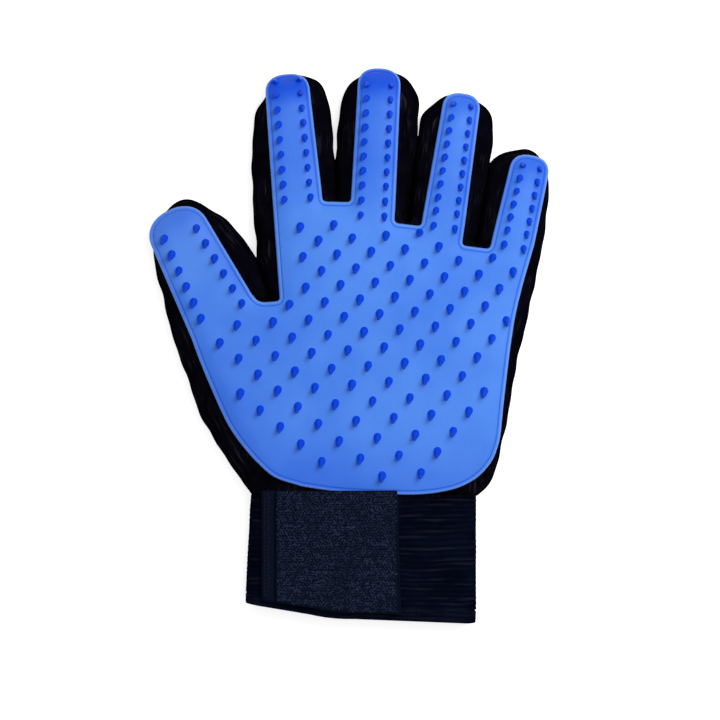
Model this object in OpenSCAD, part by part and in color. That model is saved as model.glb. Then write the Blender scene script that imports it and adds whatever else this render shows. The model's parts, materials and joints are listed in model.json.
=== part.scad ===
// Pet grooming glove for the left hand, lying on its back with the rubber palm up.
// Millimetres. +X points to the little finger, +Y to the fingertips, +Z out of the palm.
// The outlines are laid out from the middle of the wrist seam, then moved so that
// the origin is under the middle of the whole glove.

/* [Cloth] */
// Thickness of the glove at the palm, without the rubber
palm_thick = 18; // [16:0.5:22]
// Thickness of the cloth
cloth = 1.2; // [0.8:0.1:1.6]
// Cloth that shows between the rubber and the side seams
seam_margin = 1; // [0.6:0.1:1.4]
// Downward slope of the fingers from the crease to the tip, in degrees
finger_pitch = 3; // [1:0.5:4]
// Radius of the downward curl of the fingertips
curl_r = 18; // [17:0.5:24]
// Free space between one finger and the next at the crease
finger_gap = 0.9; // [0.6:0.1:1.6]
// Free space in the crease between a finger and the palm
crease_gap = 0.3; // [0.3:0.1:0.6]
// Distance from a crease down to the bottom of the crotch next to it
crotch_drop = 3; // [2:0.5:4]

/* [Rubber] */
// Thickness of the rubber
rubber = 2; // [1.4:0.1:2.4]
// Height of a nub
nub_h = 3.6; // [2.5:0.1:3.8]
// Radius of a nub at its foot
nub_foot_r = 1.7; // [1.3:0.1:1.9]
// Radius of a nub at its tip
nub_tip_r = 0.8; // [0.5:0.1:1]
// Lean of the nubs to the wrist, in degrees
nub_lean = 26; // [0:1:28]
// Distance from the crease to the first nub of a finger
nub_start = 3.1; // [3:0.1:4]
// Smallest distance from a palm nub to the edge of the rubber, above the thumb crease
nub_edge = 2; // [2:0.1:4]
// Smallest distance from a palm nub to the edge of the rubber, below the thumb crease
nub_heel_edge = 5.6; // [4:0.1:8]
// Left end of the palm nubs above the notch of the thumb, from the middle of the wrist seam
nub_left = -30; // [-32:0.5:-28]
// Lower end of the line from the waist of the rubber that the nubs stay left of
nub_heel_right = [36.7, 10.6]; // [0:0.1:45]
// First palm nub, from the middle of the wrist seam
nub_origin = [-27.1, 110.9]; // [-40:0.1:120]
// Step from a palm nub to its neighbour in the same row
nub_step = [13.9, 1]; // [0:0.1:18]
// Step from a palm nub to its neighbour in the next row
nub_row = [7.5, -5.5]; // [-8:0.1:9]
// How fast the nub pattern widens to the wrist, per mm
nub_fan = 0.0016; // [0.001:0.0001:0.002]

/* [Thumb] */
// Middle of the crease, from the middle of the wrist seam
thumb_root = [-57.7, 72.2]; // [-60:0.1:75]
// Lean to the little finger, in degrees
thumb_lean = -28; // [-30:0.5:-26]
// Length of the rubber from the crease to the tip
thumb_len = 51; // [46:0.5:56]
// Width of the rubber at the crease and near the tip
thumb_strip = [31, 24]; // [20:0.5:32]
// How far the outer side cloth stands out: at the crease, halfway, near the tip
thumb_outer_puff = [5.5, 3, 0.4]; // [0.4:0.1:7]
// How far the side cloth by the index finger stands out: halfway, near the tip
thumb_inner_puff = [8, 5]; // [0.4:0.1:9]
// How far the cloth stands out at the tip
thumb_tip_puff = 1.6; // [0.4:0.1:4]
// Length of the tip that curls down
thumb_curl = 9; // [6:0.5:12]
// Nubs: distance along a row, half distance between the rows at the crease and at the tip
thumb_nubs = [7.25, 9.1, 6.2]; // [5:0.05:10]
// How far the outer row of nubs is ahead of the inner one
thumb_nub_lead = 2.4; // [0:0.1:3]
// Length without nubs at the tip
thumb_nub_free = 8; // [1:0.5:10]

/* [Index finger] */
// Middle of the crease, from the middle of the wrist seam
index_root = [-27.6, 126.1]; // [-29:0.1:128]
// Lean to the little finger, in degrees
index_lean = -5; // [-7:0.5:-4]
// Length of the rubber from the crease to the tip
index_len = 49.6; // [45:0.1:55]
// Width of the rubber at the crease and near the tip
index_strip = [19.8, 17.8]; // [16:0.1:21]
// How far the side cloth by the thumb stands out: at the crease, halfway, near the tip
index_outer_puff = [8, 6, 1.4]; // [0.4:0.1:8.5]
// How far the side cloth by the middle finger stands out: halfway, near the tip
index_inner_puff = [6, 5]; // [0.4:0.1:7]
// How far the cloth stands out at the tip
index_tip_puff = 0.5; // [0.4:0.1:4]
// Length of the tip that curls down
index_curl = 14; // [9:0.5:15]
// Nubs: distance along a row, half distance between the rows at the crease and at the tip
index_nubs = [6.2, 5.4, 4.8]; // [4:0.05:7]

/* [Middle finger] */
// Middle of the crease, from the middle of the wrist seam
middle_root = [4.2, 125.1]; // [3:0.1:127]
// Lean to the little finger, in degrees
middle_lean = 3; // [2:0.5:4]
// Length of the rubber from the crease to the tip
middle_len = 52.6; // [48:0.1:58]
// Width of the rubber at the crease and near the tip
middle_strip = [18.2, 17]; // [15:0.1:19]
// How far the side cloth by the index finger stands out: halfway, near the tip
middle_left_puff = [6.3, 4.6]; // [0.4:0.1:7]
// How far the side cloth by the ring finger stands out: halfway, near the tip
middle_right_puff = [7, 5.6]; // [0.4:0.1:7]
// How far the cloth stands out at the tip
middle_tip_puff = 0.5; // [0.4:0.1:4]
// Length of the tip that curls down
middle_curl = 14; // [9:0.5:15]
// Nubs: distance along a row, half distance between the rows at the crease and at the tip
middle_nubs = [6, 4.9, 4.9]; // [4:0.05:7]

/* [Ring finger] */
// Middle of the crease, from the middle of the wrist seam
ring_root = [33.9, 114.2]; // [33:0.1:116]
// Lean to the little finger, in degrees
ring_lean = 8.5; // [7.5:0.5:9.5]
// Length of the rubber from the crease to the tip
ring_len = 53.2; // [48:0.1:58]
// Width of the rubber at the crease and near the tip
ring_strip = [17.4, 14.4]; // [13:0.1:18]
// How far the side cloth by the middle finger stands out: halfway, near the tip
ring_left_puff = [6.8, 5.4]; // [0.4:0.1:7]
// How far the side cloth by the little finger stands out: halfway, near the tip
ring_right_puff = [6, 2.4]; // [0.4:0.1:7]
// How far the cloth stands out at the tip
ring_tip_puff = 0.5; // [0.4:0.1:4]
// Length of the tip that curls down
ring_curl = 9; // [6:0.5:12]
// Nubs: distance along a row, half distance between the rows at the crease and at the tip
ring_nubs = [5.6, 4.4, 3.6]; // [3:0.05:7]

/* [Little finger] */
// Middle of the crease, from the middle of the wrist seam
little_root = [62.9, 106]; // [62:0.1:108]
// Lean to the little finger side, in degrees
little_lean = 12.5; // [11.5:0.5:14]
// Length of the rubber from the crease to the tip
little_len = 35.5; // [32:0.1:40]
// Width of the rubber at the crease and near the tip
little_strip = [17.2, 16]; // [14:0.1:18]
// How far the side cloth by the ring finger stands out: halfway, near the tip
little_inner_puff = [6.6, 6]; // [0.4:0.1:7]
// How far the outer side cloth stands out: at the crease, halfway, near the tip
little_outer_puff = [2.2, 1.6, 0.5]; // [0.4:0.1:4]
// How far the cloth stands out at the tip
little_tip_puff = 1.8; // [0.4:0.1:4]
// Length of the tip that curls down
little_curl = 9; // [6:0.5:12]
// Nubs: distance along a row, half distance between the rows at the crease and at the tip
little_nubs = [5.5, 4.1, 3.5]; // [3:0.05:7]

/* [Palm] */
// Corner that the left side and the lower edge of the rubber head for
pad_heel_left = [-45.9, 3.3]; // [-48:0.1:6]
// Corner that the right side and the lower edge of the rubber head for
pad_heel_right = [55.4, 0.3]; // [0:0.1:57]
// Bend in the right side of the rubber
pad_waist = [60.8, 65.4]; // [58:0.1:68]
// Corner radii of the rubber: heel left, heel right, waist, crotches
pad_round = [50, 29, 80, 1.6]; // [1:0.1:90]
// Left side of the hand: the two points that bend it between thumb and wrist
left_bend = [[-67, 48], [-60, 26]];
// Right side of the hand: the two points that bend it between little finger and wrist
right_bend = [[54, 60], [68, 26]];
// How far the side cloth below the thumb stands out: halfway, low, at the wrist seam
thumb_side_puff = [6.5, 4.2, 4.2]; // [0.4:0.1:7]
// How far the side cloth below the little finger stands out: high, halfway, low, at the wrist seam
little_side_puff = [3, 1.2, 0.6, 1]; // [0.4:0.1:4]

/* [Cuff] */
// Width of the cuff at the wrist seam
cuff_top_w = 92.6; // [90:0.1:100]
// How much wider the cuff is at its lower edge
cuff_flare = 2.4; // [0:0.1:6]
// Sideways shift of the lower edge
cuff_shift = -1.2; // [-3:0.1:3]
// Length of the cuff in the middle, hem included
cuff_len = 49; // [42:0.5:58]
// Slant of the lower edge, in degrees
cuff_slant = 5.2; // [0:0.1:8]
// Thickness of the elastic
cuff_wall = 1.8; // [1.2:0.1:2.4]
// Depth of the round edges at the sides of the cuff
cuff_round = 5; // [3.5:0.1:7]
// Height of the hem
hem_h = 5; // [3:0.5:8]

/* [Strap] */
// Distance of the sewn-down end from the left side of the cuff
anchor_inset = 4.2; // [3:0.1:6]
// Width of the sewn-down end
anchor_w = 5.4; // [4:0.1:8]
// Free length of the strap
strap_len = 52; // [40:0.1:56]
// Height of the strap above the wrist seam
strap_rise = 2.2; // [0:0.1:4]
// Distance of the strap from the lower edge of the cuff
strap_inset = 1.5; // [0.5:0.1:6]
// Slant of the free end
strap_slant = -0.8; // [-4:0.1:4]
// Thickness of the strap
strap_t = 1.6; // [1.2:0.1:2.4]
// Thickness of the loop patch on the cuff
loop_t = 1.2; // [0.8:0.1:1.6]
// Thickness that the hook patch has at least
hook_t = 1; // [0.6:0.1:1.4]
// Length of the hook patch at the free end
hook_len = 24; // [15:0.5:32]
// Space between hooks and loops, and between strap and rubber
closure_gap = 0.3; // [0.2:0.1:0.5]
// Distance of the patches from the edges of the strap
patch_inset = 2; // [1:0.5:4]

/* [Hidden] */

$fn = 24;
rubber_blue = [0.3, 0.53, 0.93];
cloth_black = [0.06, 0.06, 0.08];
back_black = [0.1, 0.1, 0.12];
elastic_black = [0.08, 0.09, 0.13];
strap_navy = [0.12, 0.14, 0.22];

// Fields of a finger
ROOT = 0;
LEAN = 1;
LEN = 2;
STRIP = 3;
CURL = 4;
NUBS = 5;
LEFT_PUFF = 6;
RIGHT_PUFF = 7;
TIP_PUFF = 8;

tip_power = 2.5;
tip_round = 0.95;
tip_angles = [15, 30, 45, 60, 72, 83];
flank_steps = [0, 0.3, 0.6, 0.85, 1];
curl_steps = [0.5, 1];
tip_margin = 0.4;
nub_sink = 0.5;
nub_tip_free = 1;
nub_aim = -10;
web_puff = 1;
arc_steps = 8;
side_steps = 10;

function lerp(a, b, t) = a + (b - a) * t;

function unit(v) = v / norm(v);

function dot(a, b) = a[0] * b[0] + a[1] * b[1];

// Direction from the crease to the tip, and to the right of the finger
function along(f) = [sin(f[LEAN]), cos(f[LEAN])];

function across(f) = [cos(f[LEAN]), -sin(f[LEAN])];

function spot(f, u, v) = f[ROOT] + u * along(f) + v * across(f);

// Half the width of the cloth at the crease of a finger with these values
function crease_half(strip) = strip[0] / 2 + seam_margin;

// Free width between the cloth of a finger and of its right neighbour, at the crease
function crotch_w(root_f, lean_f, strip_f, root_g, lean_g, strip_g) =
  let (corner = root_g - crease_half(strip_g) * [cos(lean_g), -sin(lean_g)])
  dot(corner - root_f, [cos(lean_f), -sin(lean_f)]) - crease_half(strip_f);

function shared_puff(w) = max(web_puff, (w - finger_gap) / 2);

im_puff = shared_puff(crotch_w(index_root, index_lean, index_strip,
                               middle_root, middle_lean, middle_strip));
mr_puff = shared_puff(crotch_w(middle_root, middle_lean, middle_strip,
                               ring_root, ring_lean, ring_strip));
rl_puff = shared_puff(crotch_w(ring_root, ring_lean, ring_strip,
                               little_root, little_lean, little_strip));

// Width of the crotch beside the thumb, at the level of the thumb crease
thumb_corner = thumb_root + crease_half(thumb_strip) * [cos(thumb_lean), -sin(thumb_lean)];
index_edge_x = index_root[0] - crease_half(index_strip) / cos(index_lean)
  + (thumb_corner[1] - index_root[1]) * tan(index_lean);
ti_puff = shared_puff(index_edge_x - thumb_corner[0]);

thumb = [thumb_root, thumb_lean, thumb_len, thumb_strip, thumb_curl,
         concat(thumb_nubs, thumb_nub_lead, thumb_nub_free),
         thumb_outer_puff, concat(ti_puff, thumb_inner_puff), thumb_tip_puff];
index = [index_root, index_lean, index_len, index_strip, index_curl,
         concat(index_nubs, 0, nub_tip_free),
         index_outer_puff, concat(im_puff, index_inner_puff), index_tip_puff];
middle = [middle_root, middle_lean, middle_len, middle_strip, middle_curl,
          concat(middle_nubs, 0, nub_tip_free),
          concat(im_puff, middle_left_puff), concat(mr_puff, middle_right_puff), middle_tip_puff];
ring = [ring_root, ring_lean, ring_len, ring_strip, ring_curl,
        concat(ring_nubs, 0, nub_tip_free),
        concat(mr_puff, ring_left_puff), concat(rl_puff, ring_right_puff), ring_tip_puff];
little = [little_root, little_lean, little_len, little_strip, little_curl,
          concat(little_nubs, 0, nub_tip_free),
          concat(rl_puff, little_inner_puff), little_outer_puff, little_tip_puff];

// Half width of the rubber on the straight part of a finger
function taper(f, u) = lerp(f[STRIP][0], f[STRIP][1], u / f[LEN]) / 2;

function tip_len(f) = f[STRIP][1] / 2 * tip_round;

// Stations from the crease to the tip: distance, half width, outward direction
function flank_stations(f) =
  let (end = f[LEN] - tip_len(f), bend = min(f[LEN] - f[CURL], end - 1))
  [for (u = concat([for (s = flank_steps) lerp(crease_gap, bend, s)],
                   [for (s = curl_steps) lerp(bend, end, s)]))
    [u, taper(f, u), [0, 1]]];

function tip_stations(f) =
  let (c = tip_len(f), start = f[LEN] - c, h = taper(f, start))
  [for (t = tip_angles)
    let (q = 2 / tip_power, n = unit([pow(sin(t), 2 - q) / c, pow(cos(t), 2 - q) / h]))
    [start + c * pow(sin(t), q), h * pow(cos(t), q), n]];

function stations(f) = concat(flank_stations(f), tip_stations(f));

// The same stations for the cloth, which stands out beyond the rubber
function cloth_stations(f) =
  [for (s = stations(f))
    [s[0] + seam_margin * tip_margin * s[2][0], s[1] + seam_margin * s[2][1], s[2]]];

// Top of the palm-side cloth of a finger, and its slope
function top_z(f, u) =
  let (x = max(0, u - f[LEN] + f[CURL]))
  palm_thick - u * tan(finger_pitch) - curl_r + sqrt(curl_r * curl_r - x * x);

function top_slope(f, u) = finger_pitch + asin(max(0, u - f[LEN] + f[CURL]) / curl_r);

// How far the side cloth stands out at a station
function puff(f, side, station) =
  let (set = side < 0 ? f[LEFT_PUFF] : f[RIGHT_PUFF],
       end = f[LEN] - tip_len(f),
       flank = lookup(station[0], [[0, set[0]], [end / 2, set[1]], [end, set[2]]]))
  lerp(flank, f[TIP_PUFF], pow(station[2][0], 2));

// Solid skinned over closed rings of points, each an outer line out and an inner line back
module skin(rings, flip) {
  n = len(rings[0]);
  last = (len(rings) - 1) * n;
  first_cap = [for (k = [0:n / 2 - 2])
    each [[n - 1 - k, n - 2 - k, k], [n - 2 - k, k + 1, k]]];
  last_cap = [for (k = [0:n / 2 - 2])
    each [[last + k, last + n - 2 - k, last + n - 1 - k], [last + k, last + k + 1, last + n - 2 - k]]];
  walls = [for (j = [0:n:last - n], i = [0:n - 1])
    let (k = (i + 1) % n)
    each [[j + i, j + k, j + n + k], [j + i, j + n + k, j + n + i]]];
  faces = concat(first_cap, walls, last_cap);
  turned = [for (f = faces) [f[2], f[1], f[0]]];
  polyhedron([for (r = rings) each r], flip ? turned : faces);
}

// Side cloth: each station has a place, an outward direction, a puff and a height
function side_ring(s) =
  let (mid = s[3] / 2)
  concat(
    [for (k = [0:arc_steps])
      let (a = 90 - 180 * k / arc_steps, p = s[0] + s[2] * cos(a) * s[1])
      [p[0], p[1], mid + mid * sin(a)]],
    [for (k = [arc_steps:-1:0])
      let (a = 90 - 180 * k / arc_steps, p = s[0] + (s[2] - cloth) * cos(a) * s[1])
      [p[0], p[1], mid + (mid - cloth) * sin(a)]]);

module side_cloth(path, flip) skin([for (s = path) side_ring(s)], flip);

// Side cloth stations of one finger, side -1 left and 1 right
function finger_side(f, side) =
  let (list = cloth_stations(f), end = list[len(list) - 1])
  concat(
    [for (s = list)
      [spot(f, s[0], side * s[1]), s[2][0] * along(f) + side * s[2][1] * across(f),
       puff(f, side, s), top_z(f, s[0])]],
    [[spot(f, end[0], 0), along(f), f[TIP_PUFF], top_z(f, end[0])]]);

module finger_gusset(f, side) {
  color(cloth_black)
    placed()
      side_cloth(finger_side(f, side), side > 0);
}

// Sheet over a finger between two heights above the palm-side cloth
module finger_sheet(f, list, low, high) {
  skin([for (s = list)
    let (l = spot(f, s[0], -s[1]), r = spot(f, s[0], s[1]), z = top_z(f, s[0]))
    [[l[0], l[1], z + low], [r[0], r[1], z + low], [r[0], r[1], z + high], [l[0], l[1], z + high]]],
    false);
}

module finger_front(f) {
  color(cloth_black)
    placed()
      finger_sheet(f, cloth_stations(f), -cloth, 0);
}

module finger_back(f) {
  list = cloth_stations(f);
  left = [for (s = list) spot(f, s[0], -s[1])];
  right = [for (i = [len(list) - 1:-1:0]) spot(f, list[i][0], list[i][1])];
  color(back_black)
    placed()
      linear_extrude(cloth)
        polygon(concat(left, right));
}

// A nub leans to the wrist, and is as long as its height needs
module nub() {
  deep = rubber * nub_sink;
  tall = (nub_h - nub_tip_r * sin(nub_lean)) / cos(nub_lean);
  rotate([nub_lean, 0, nub_aim])
    translate([0, 0, -deep])
      cylinder(h = tall + deep, r1 = nub_foot_r, r2 = nub_tip_r);
}

// Distance from the crease of the nubs of a finger, also those behind it on the palm
function nub_u(f, i, lead = 0) =
  let (s = lead + (i < 0 ? nub_start * (2 * i + 1) : nub_start + i * f[NUBS][0]),
       bend = f[LEN] - f[CURL])
  s < bend ? s : bend + curl_r * sin((s - bend) / curl_r * 180 / PI);

function nub_count(f) =
  floor((f[LEN] - f[CURL] + curl_r * asin((f[CURL] - nub_foot_r) / curl_r) * PI / 180
         - nub_start - f[NUBS][4]) / f[NUBS][0]) + 1;

module finger_nubs(f, first, last) {
  for (i = [first:last], v = [-1, 1]) {
    u = nub_u(f, i, v < 0 ? f[NUBS][3] : 0);
    p = spot(f, u, v * lerp(f[NUBS][1], f[NUBS][2], max(0, u) / f[LEN]));
    translate([p[0], p[1], top_z(f, max(0, u)) + rubber])
      rotate([0, 0, -f[LEAN]])
        rotate([u < 0 ? 0 : -top_slope(f, u), 0, 0])
          rotate([0, 0, f[LEAN]])
            nub();
  }
}

module finger_pad(f) {
  color(rubber_blue)
    placed() {
      finger_sheet(f, stations(f), 0, rubber);
      finger_nubs(f, 0, nub_count(f) - 1);
    }
}

// Crease corners of a finger, and the corners of the crotch between two fingers
function crease_corner(f, side, m) = spot(f, 0, side * (f[STRIP][0] / 2 + m));

function crotch_level(f, g) = min(f[ROOT][1], g[ROOT][1]) - crotch_drop;

function down_to(f, p, y) = p + along(f) * (y - p[1]) / along(f)[1];

function crotch(f, g, m) =
  let (y = crotch_level(f, g))
  [down_to(f, crease_corner(f, 1, m), y), down_to(g, crease_corner(g, -1, m), y)];

function thumb_crotch(m) =
  let (p = crease_corner(thumb, 1, m), y = p[1] - crotch_drop / 2)
  [down_to(thumb, p, y), down_to(index, crease_corner(index, -1, m), y)];

// Upper edge of the palm from the thumb crease to the little finger crease
function creases(f, m) = [crease_corner(f, -1, m), crease_corner(f, 1, m)];

function upper_edge(m) = concat(
  creases(thumb, m), thumb_crotch(m), creases(index, m), crotch(index, middle, m),
  creases(middle, m), crotch(middle, ring, m), creases(ring, m), crotch(ring, little, m),
  creases(little, m));

// Corner rounded by an arc: points from one tangent point to the other
function round_corner(a, p, b, r) =
  let (da = unit(a - p), db = unit(b - p),
       half = acos(dot(da, db)) / 2,
       reach = r / tan(half),
       mid = p + unit(da + db) * r / sin(half),
       from = p + da * reach - mid,
       to = p + db * reach - mid,
       turn = 180 - 2 * half,
       n = max(2, ceil(turn / 8)),
       s = from[0] * to[1] - from[1] * to[0] > 0 ? 1 : -1)
  r == 0 ? [p] : [for (k = [0:n])
    let (t = s * turn * k / n)
    mid + [from[0] * cos(t) - from[1] * sin(t), from[0] * sin(t) + from[1] * cos(t)]];

function rounded(pts, radii) =
  let (n = len(pts))
  [for (i = [0:n - 1])
    each round_corner(pts[(i + n - 1) % n], pts[i], pts[(i + 1) % n], radii[i])];

// Corner radii along the upper edge: creases are sharp, crotches round
upper_radii = [for (k = [0:4]) each k < 4 ? [0, 0, pad_round[3], pad_round[3]] : [0, 0]];

pad_outline = rounded(
  concat(upper_edge(0), [pad_waist, pad_heel_right, pad_heel_left]),
  concat(upper_radii, [pad_round[2], pad_round[1], pad_round[0]]));

// Distance from a point to the pad outline, and whether it is inside
function edge_distance(p) = min([for (i = [0:len(pad_outline) - 1])
  let (a = pad_outline[i], b = pad_outline[(i + 1) % len(pad_outline)],
       t = max(0, min(1, dot(p - a, b - a) / max(0.001, dot(b - a, b - a)))))
  norm(p - a - t * (b - a))]);

function crossings(p) = len([for (i = [0:len(pad_outline) - 1])
  let (a = pad_outline[i], b = pad_outline[(i + 1) % len(pad_outline)])
  if ((a[1] > p[1]) != (b[1] > p[1])
      && p[0] < a[0] + (p[1] - a[1]) * (b[0] - a[0]) / (b[1] - a[1])) i]);

// Nubs that continue a finger's rows on the palm
nubs_behind = [[index, 1], [middle, 2], [ring, 1], [little, 1]];

behind_spots = [for (n = nubs_behind, i = [-n[1]:-1], v = [-1, 1])
  spot(n[0], nub_u(n[0], i), v * n[0][NUBS][1])];

function nub_spot(i, j) =
  let (p = i * nub_step + j * nub_row)
  nub_origin + p / (1 + nub_fan * p[1]);

function left_of(p, a, b) = (b - a)[0] * (p - a)[1] - (b - a)[1] * (p - a)[0] < 0;

palm_spots = [for (j = [0:17], i = [-10:10])
  let (p = nub_spot(i, j), high = p[1] > thumb_root[1] - nub_edge)
  if (crossings(p) % 2 == 1
      && edge_distance(p) > (high ? nub_edge : nub_heel_edge)
      && (p[0] > nub_left || p[1] < thumb_corner[1])
      && left_of(p, pad_waist, nub_heel_right)
      && min([for (q = behind_spots) norm(p - q)]) > 3 * nub_foot_r) p];

module palm_pad() {
  color(rubber_blue)
    placed()
      translate([0, 0, palm_thick]) {
        linear_extrude(rubber)
          polygon(pad_outline);
        for (p = concat(palm_spots, behind_spots))
          translate([p[0], p[1], rubber])
            nub();
      }
}

// Sides of the hand between the outer creases and the wrist seam
function bend_curve(a, mid, b, t) =
  pow(1 - t, 3) * a + 3 * t * pow(1 - t, 2) * mid[0] + 3 * t * t * (1 - t) * mid[1] + pow(t, 3) * b;

// The side cloth ends level with the sides of the cuff
wrist_left = [thumb_side_puff[2] - cuff_top_w / 2, 0];
wrist_right = [cuff_top_w / 2 - little_side_puff[3], 0];

left_side = [for (k = [0:side_steps])
  bend_curve(crease_corner(thumb, -1, seam_margin), left_bend, wrist_left, k / side_steps)];
right_side = [for (k = [0:side_steps])
  bend_curve(crease_corner(little, 1, seam_margin), right_bend, wrist_right, k / side_steps)];

hand_outline = concat(
  upper_edge(seam_margin),
  [for (k = [1:side_steps]) right_side[k]],
  [for (k = [side_steps:-1:1]) left_side[k]]);

module palm_lining() {
  color(cloth_black)
    placed()
      translate([0, 0, palm_thick - cloth])
        linear_extrude(cloth)
          polygon(hand_outline);
}

module back_panel() {
  color(back_black)
    placed()
      linear_extrude(cloth)
        polygon(hand_outline);
}

// Stations along a side of the hand, with the outward direction at its two ends
function hand_side(pts, turn, first, last, puffs) =
  [for (i = [0:side_steps])
    let (d = unit(pts[min(i + 1, side_steps)] - pts[max(i - 1, 0)]),
         n = i == 0 ? first : i == side_steps ? last : turn * [d[1], -d[0]])
    [pts[i], n, lookup(i / side_steps, puffs), palm_thick]];

module thumb_side_gusset() {
  puffs = [[0, thumb_outer_puff[0]], [0.5, thumb_side_puff[0]], [0.8, thumb_side_puff[1]],
           [1, thumb_side_puff[2]]];
  color(cloth_black)
    placed()
      side_cloth(hand_side(left_side, 1, -across(thumb), [-1, 0], puffs), true);
}

module little_side_gusset() {
  puffs = [[0, little_outer_puff[0]], [0.25, little_side_puff[0]], [0.5, little_side_puff[1]],
           [0.8, little_side_puff[2]], [1, little_side_puff[3]]];
  color(cloth_black)
    placed()
      side_cloth(hand_side(right_side, -1, across(little), [1, 0], puffs), false);
}

// Cloth around a crotch, from the crease of one finger to the crease of the next
function web_stations(f, g, low, f_puff, g_steps) = concat(
  [[crease_corner(f, 1, seam_margin), across(f), f_puff, palm_thick],
   [low[0], unit(across(f) + along(f)), web_puff, palm_thick],
   [(low[0] + low[1]) / 2, [0, 1], web_puff, palm_thick],
   [low[1], unit(along(g) - across(g)), web_puff, palm_thick]],
  [for (s = g_steps)
    [lerp(low[1], crease_corner(g, -1, seam_margin), s[0]), -across(g), s[1], palm_thick]]);

module web(f, g) {
  color(cloth_black)
    placed()
      side_cloth(web_stations(f, g, crotch(f, g, seam_margin), f[RIGHT_PUFF][0],
                              [[1, g[LEFT_PUFF][0]]]), false);
}

module thumb_index_web() {
  full = index_outer_puff[0];
  steps = [[0.15, 0.4 * full], [0.35, 0.65 * full], [0.6, 0.9 * full], [1, full]];
  color(cloth_black)
    placed()
      side_cloth(web_stations(thumb, index, thumb_crotch(seam_margin), ti_puff, steps), false);
}

// Cuff: an oval tube that widens to a slanted lower edge
function cuff_arc(w, inset, first, last) =
  [for (k = [0:arc_steps])
    let (a = lerp(first, last, k / arc_steps), s = cos(a) < 0 ? -1 : 1)
    [s * (w / 2 - cuff_round) + (cuff_round - inset) * cos(a),
     palm_thick / 2 + (palm_thick / 2 - inset) * sin(a)]];

// Outline of one half of the cuff wall, a = 1 for the front and -1 for the back
function cuff_half(w, a) = concat(
  cuff_arc(w, 0, 180 * a, 91 * a), cuff_arc(w, 0, 89 * a, 0),
  cuff_arc(w, cuff_wall, 0, 89 * a), cuff_arc(w, cuff_wall, 91 * a, 180 * a));

function cuff_w(t) = cuff_top_w + cuff_flare * t;

// Level of the cuff's lower edge, and of a line above it
function low_edge(x, up) = -cuff_len + up - x * tan(cuff_slant);

module cuff_wall_half(a) {
  low = cuff_half(cuff_w(1), a);
  color(elastic_black)
    placed()
      skin([[for (p = cuff_half(cuff_w(0), a)) [p[0], 0, p[1]]],
            [for (p = low) [p[0] + cuff_shift, low_edge(p[0], hem_h), p[1]]]], a < 0);
}

module cuff_front() {
  cuff_wall_half(1);
}

module cuff_back() {
  cuff_wall_half(-1);
}

function hem_loop(inset) = concat(
  cuff_arc(cuff_w(1), inset, 180, 91), cuff_arc(cuff_w(1), inset, 89, 0),
  [for (k = [1:arc_steps]) cuff_arc(cuff_w(1), inset, 0, -89)[k]],
  [for (k = [0:arc_steps - 1]) cuff_arc(cuff_w(1), inset, -91, -180)[k]]);

module cuff_hem() {
  outer = hem_loop(0);
  inner = hem_loop(cuff_wall);
  n = len(outer);
  rings = [for (i = [0:n - 1])
    let (o = outer[i], q = inner[i])
    [[o[0] + cuff_shift, low_edge(o[0], hem_h), o[1]], [q[0] + cuff_shift, low_edge(q[0], hem_h), q[1]],
     [q[0] + cuff_shift, low_edge(q[0], 0), q[1]], [o[0] + cuff_shift, low_edge(o[0], 0), o[1]]]];
  faces = [for (i = [0:n - 1], k = [0:3])
    let (j = (i + 1) % n, l = (k + 1) % 4)
    each [[4 * i + k, 4 * i + l, 4 * j + l], [4 * i + k, 4 * j + l, 4 * j + k]]];
  color(elastic_black)
    placed()
      polyhedron([for (r = rings) each r], faces);
}

// Wrist strap and its closure, stacked on the front of the cuff
anchor_x = anchor_inset - cuff_top_w / 2;
strap_x = anchor_x + anchor_w + crease_gap;
strap_z = palm_thick + max(loop_t + closure_gap + hook_t, rubber + closure_gap);
loop_top = palm_thick + loop_t;
hook_low = loop_top + closure_gap;
strap_end = strap_x + strap_len;

function band_outline(x0, x1, rise, inset, slant) =
  [[x0, rise], [x1, rise], [x1 + slant, low_edge(x1, inset)], [x0, low_edge(x0, inset)]];

module band(x0, x1, rise, inset, slant, z0, z1) {
  translate([0, 0, z0])
    linear_extrude(z1 - z0)
      polygon(band_outline(x0, x1, rise, inset, slant));
}

module strap() {
  color(strap_navy)
    placed()
      band(strap_x, strap_end, strap_rise, strap_inset, strap_slant, strap_z, strap_z + strap_t);
}

module strap_anchor() {
  color(strap_navy)
    placed()
      band(anchor_x, anchor_x + anchor_w, strap_rise, strap_inset, 0, palm_thick, strap_z + strap_t);
}

module hook_patch() {
  color(elastic_black)
    placed()
      band(strap_end - patch_inset - hook_len, strap_end - patch_inset, -patch_inset,
           strap_inset + patch_inset, strap_slant, hook_low, strap_z);
}

module loop_patch() {
  color(strap_navy)
    placed()
      band(strap_x + patch_inset, strap_end - patch_inset / 2, -patch_inset / 2,
           strap_inset + patch_inset, strap_slant, palm_thick, loop_top);
}

// Reach of the whole glove, from its outermost side cloth and the cuff
function reach(f, side, axis) = [for (s = finger_side(f, side)) (s[0] + s[2] * s[1])[axis]];

min_x = min(concat(reach(thumb, -1, 0), [for (p = left_side) p[0]]));
max_x = max(reach(little, 1, 0));
max_y = max(concat(reach(index, 1, 1), reach(middle, 1, 1), reach(middle, -1, 1),
                   reach(ring, 1, 1), reach(ring, -1, 1)));
min_y = min(low_edge(cuff_w(1) / 2, 0), low_edge(-cuff_w(1) / 2, 0));

module placed() {
  translate([-(min_x + max_x) / 2, -(min_y + max_y) / 2, 0])
    children();
}

module index_middle_web() {
  web(index, middle);
}

module middle_ring_web() {
  web(middle, ring);
}

module ring_little_web() {
  web(ring, little);
}

module thumb_pad() {
  finger_pad(thumb);
}

module thumb_front() {
  finger_front(thumb);
}

module thumb_back() {
  finger_back(thumb);
}

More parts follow.
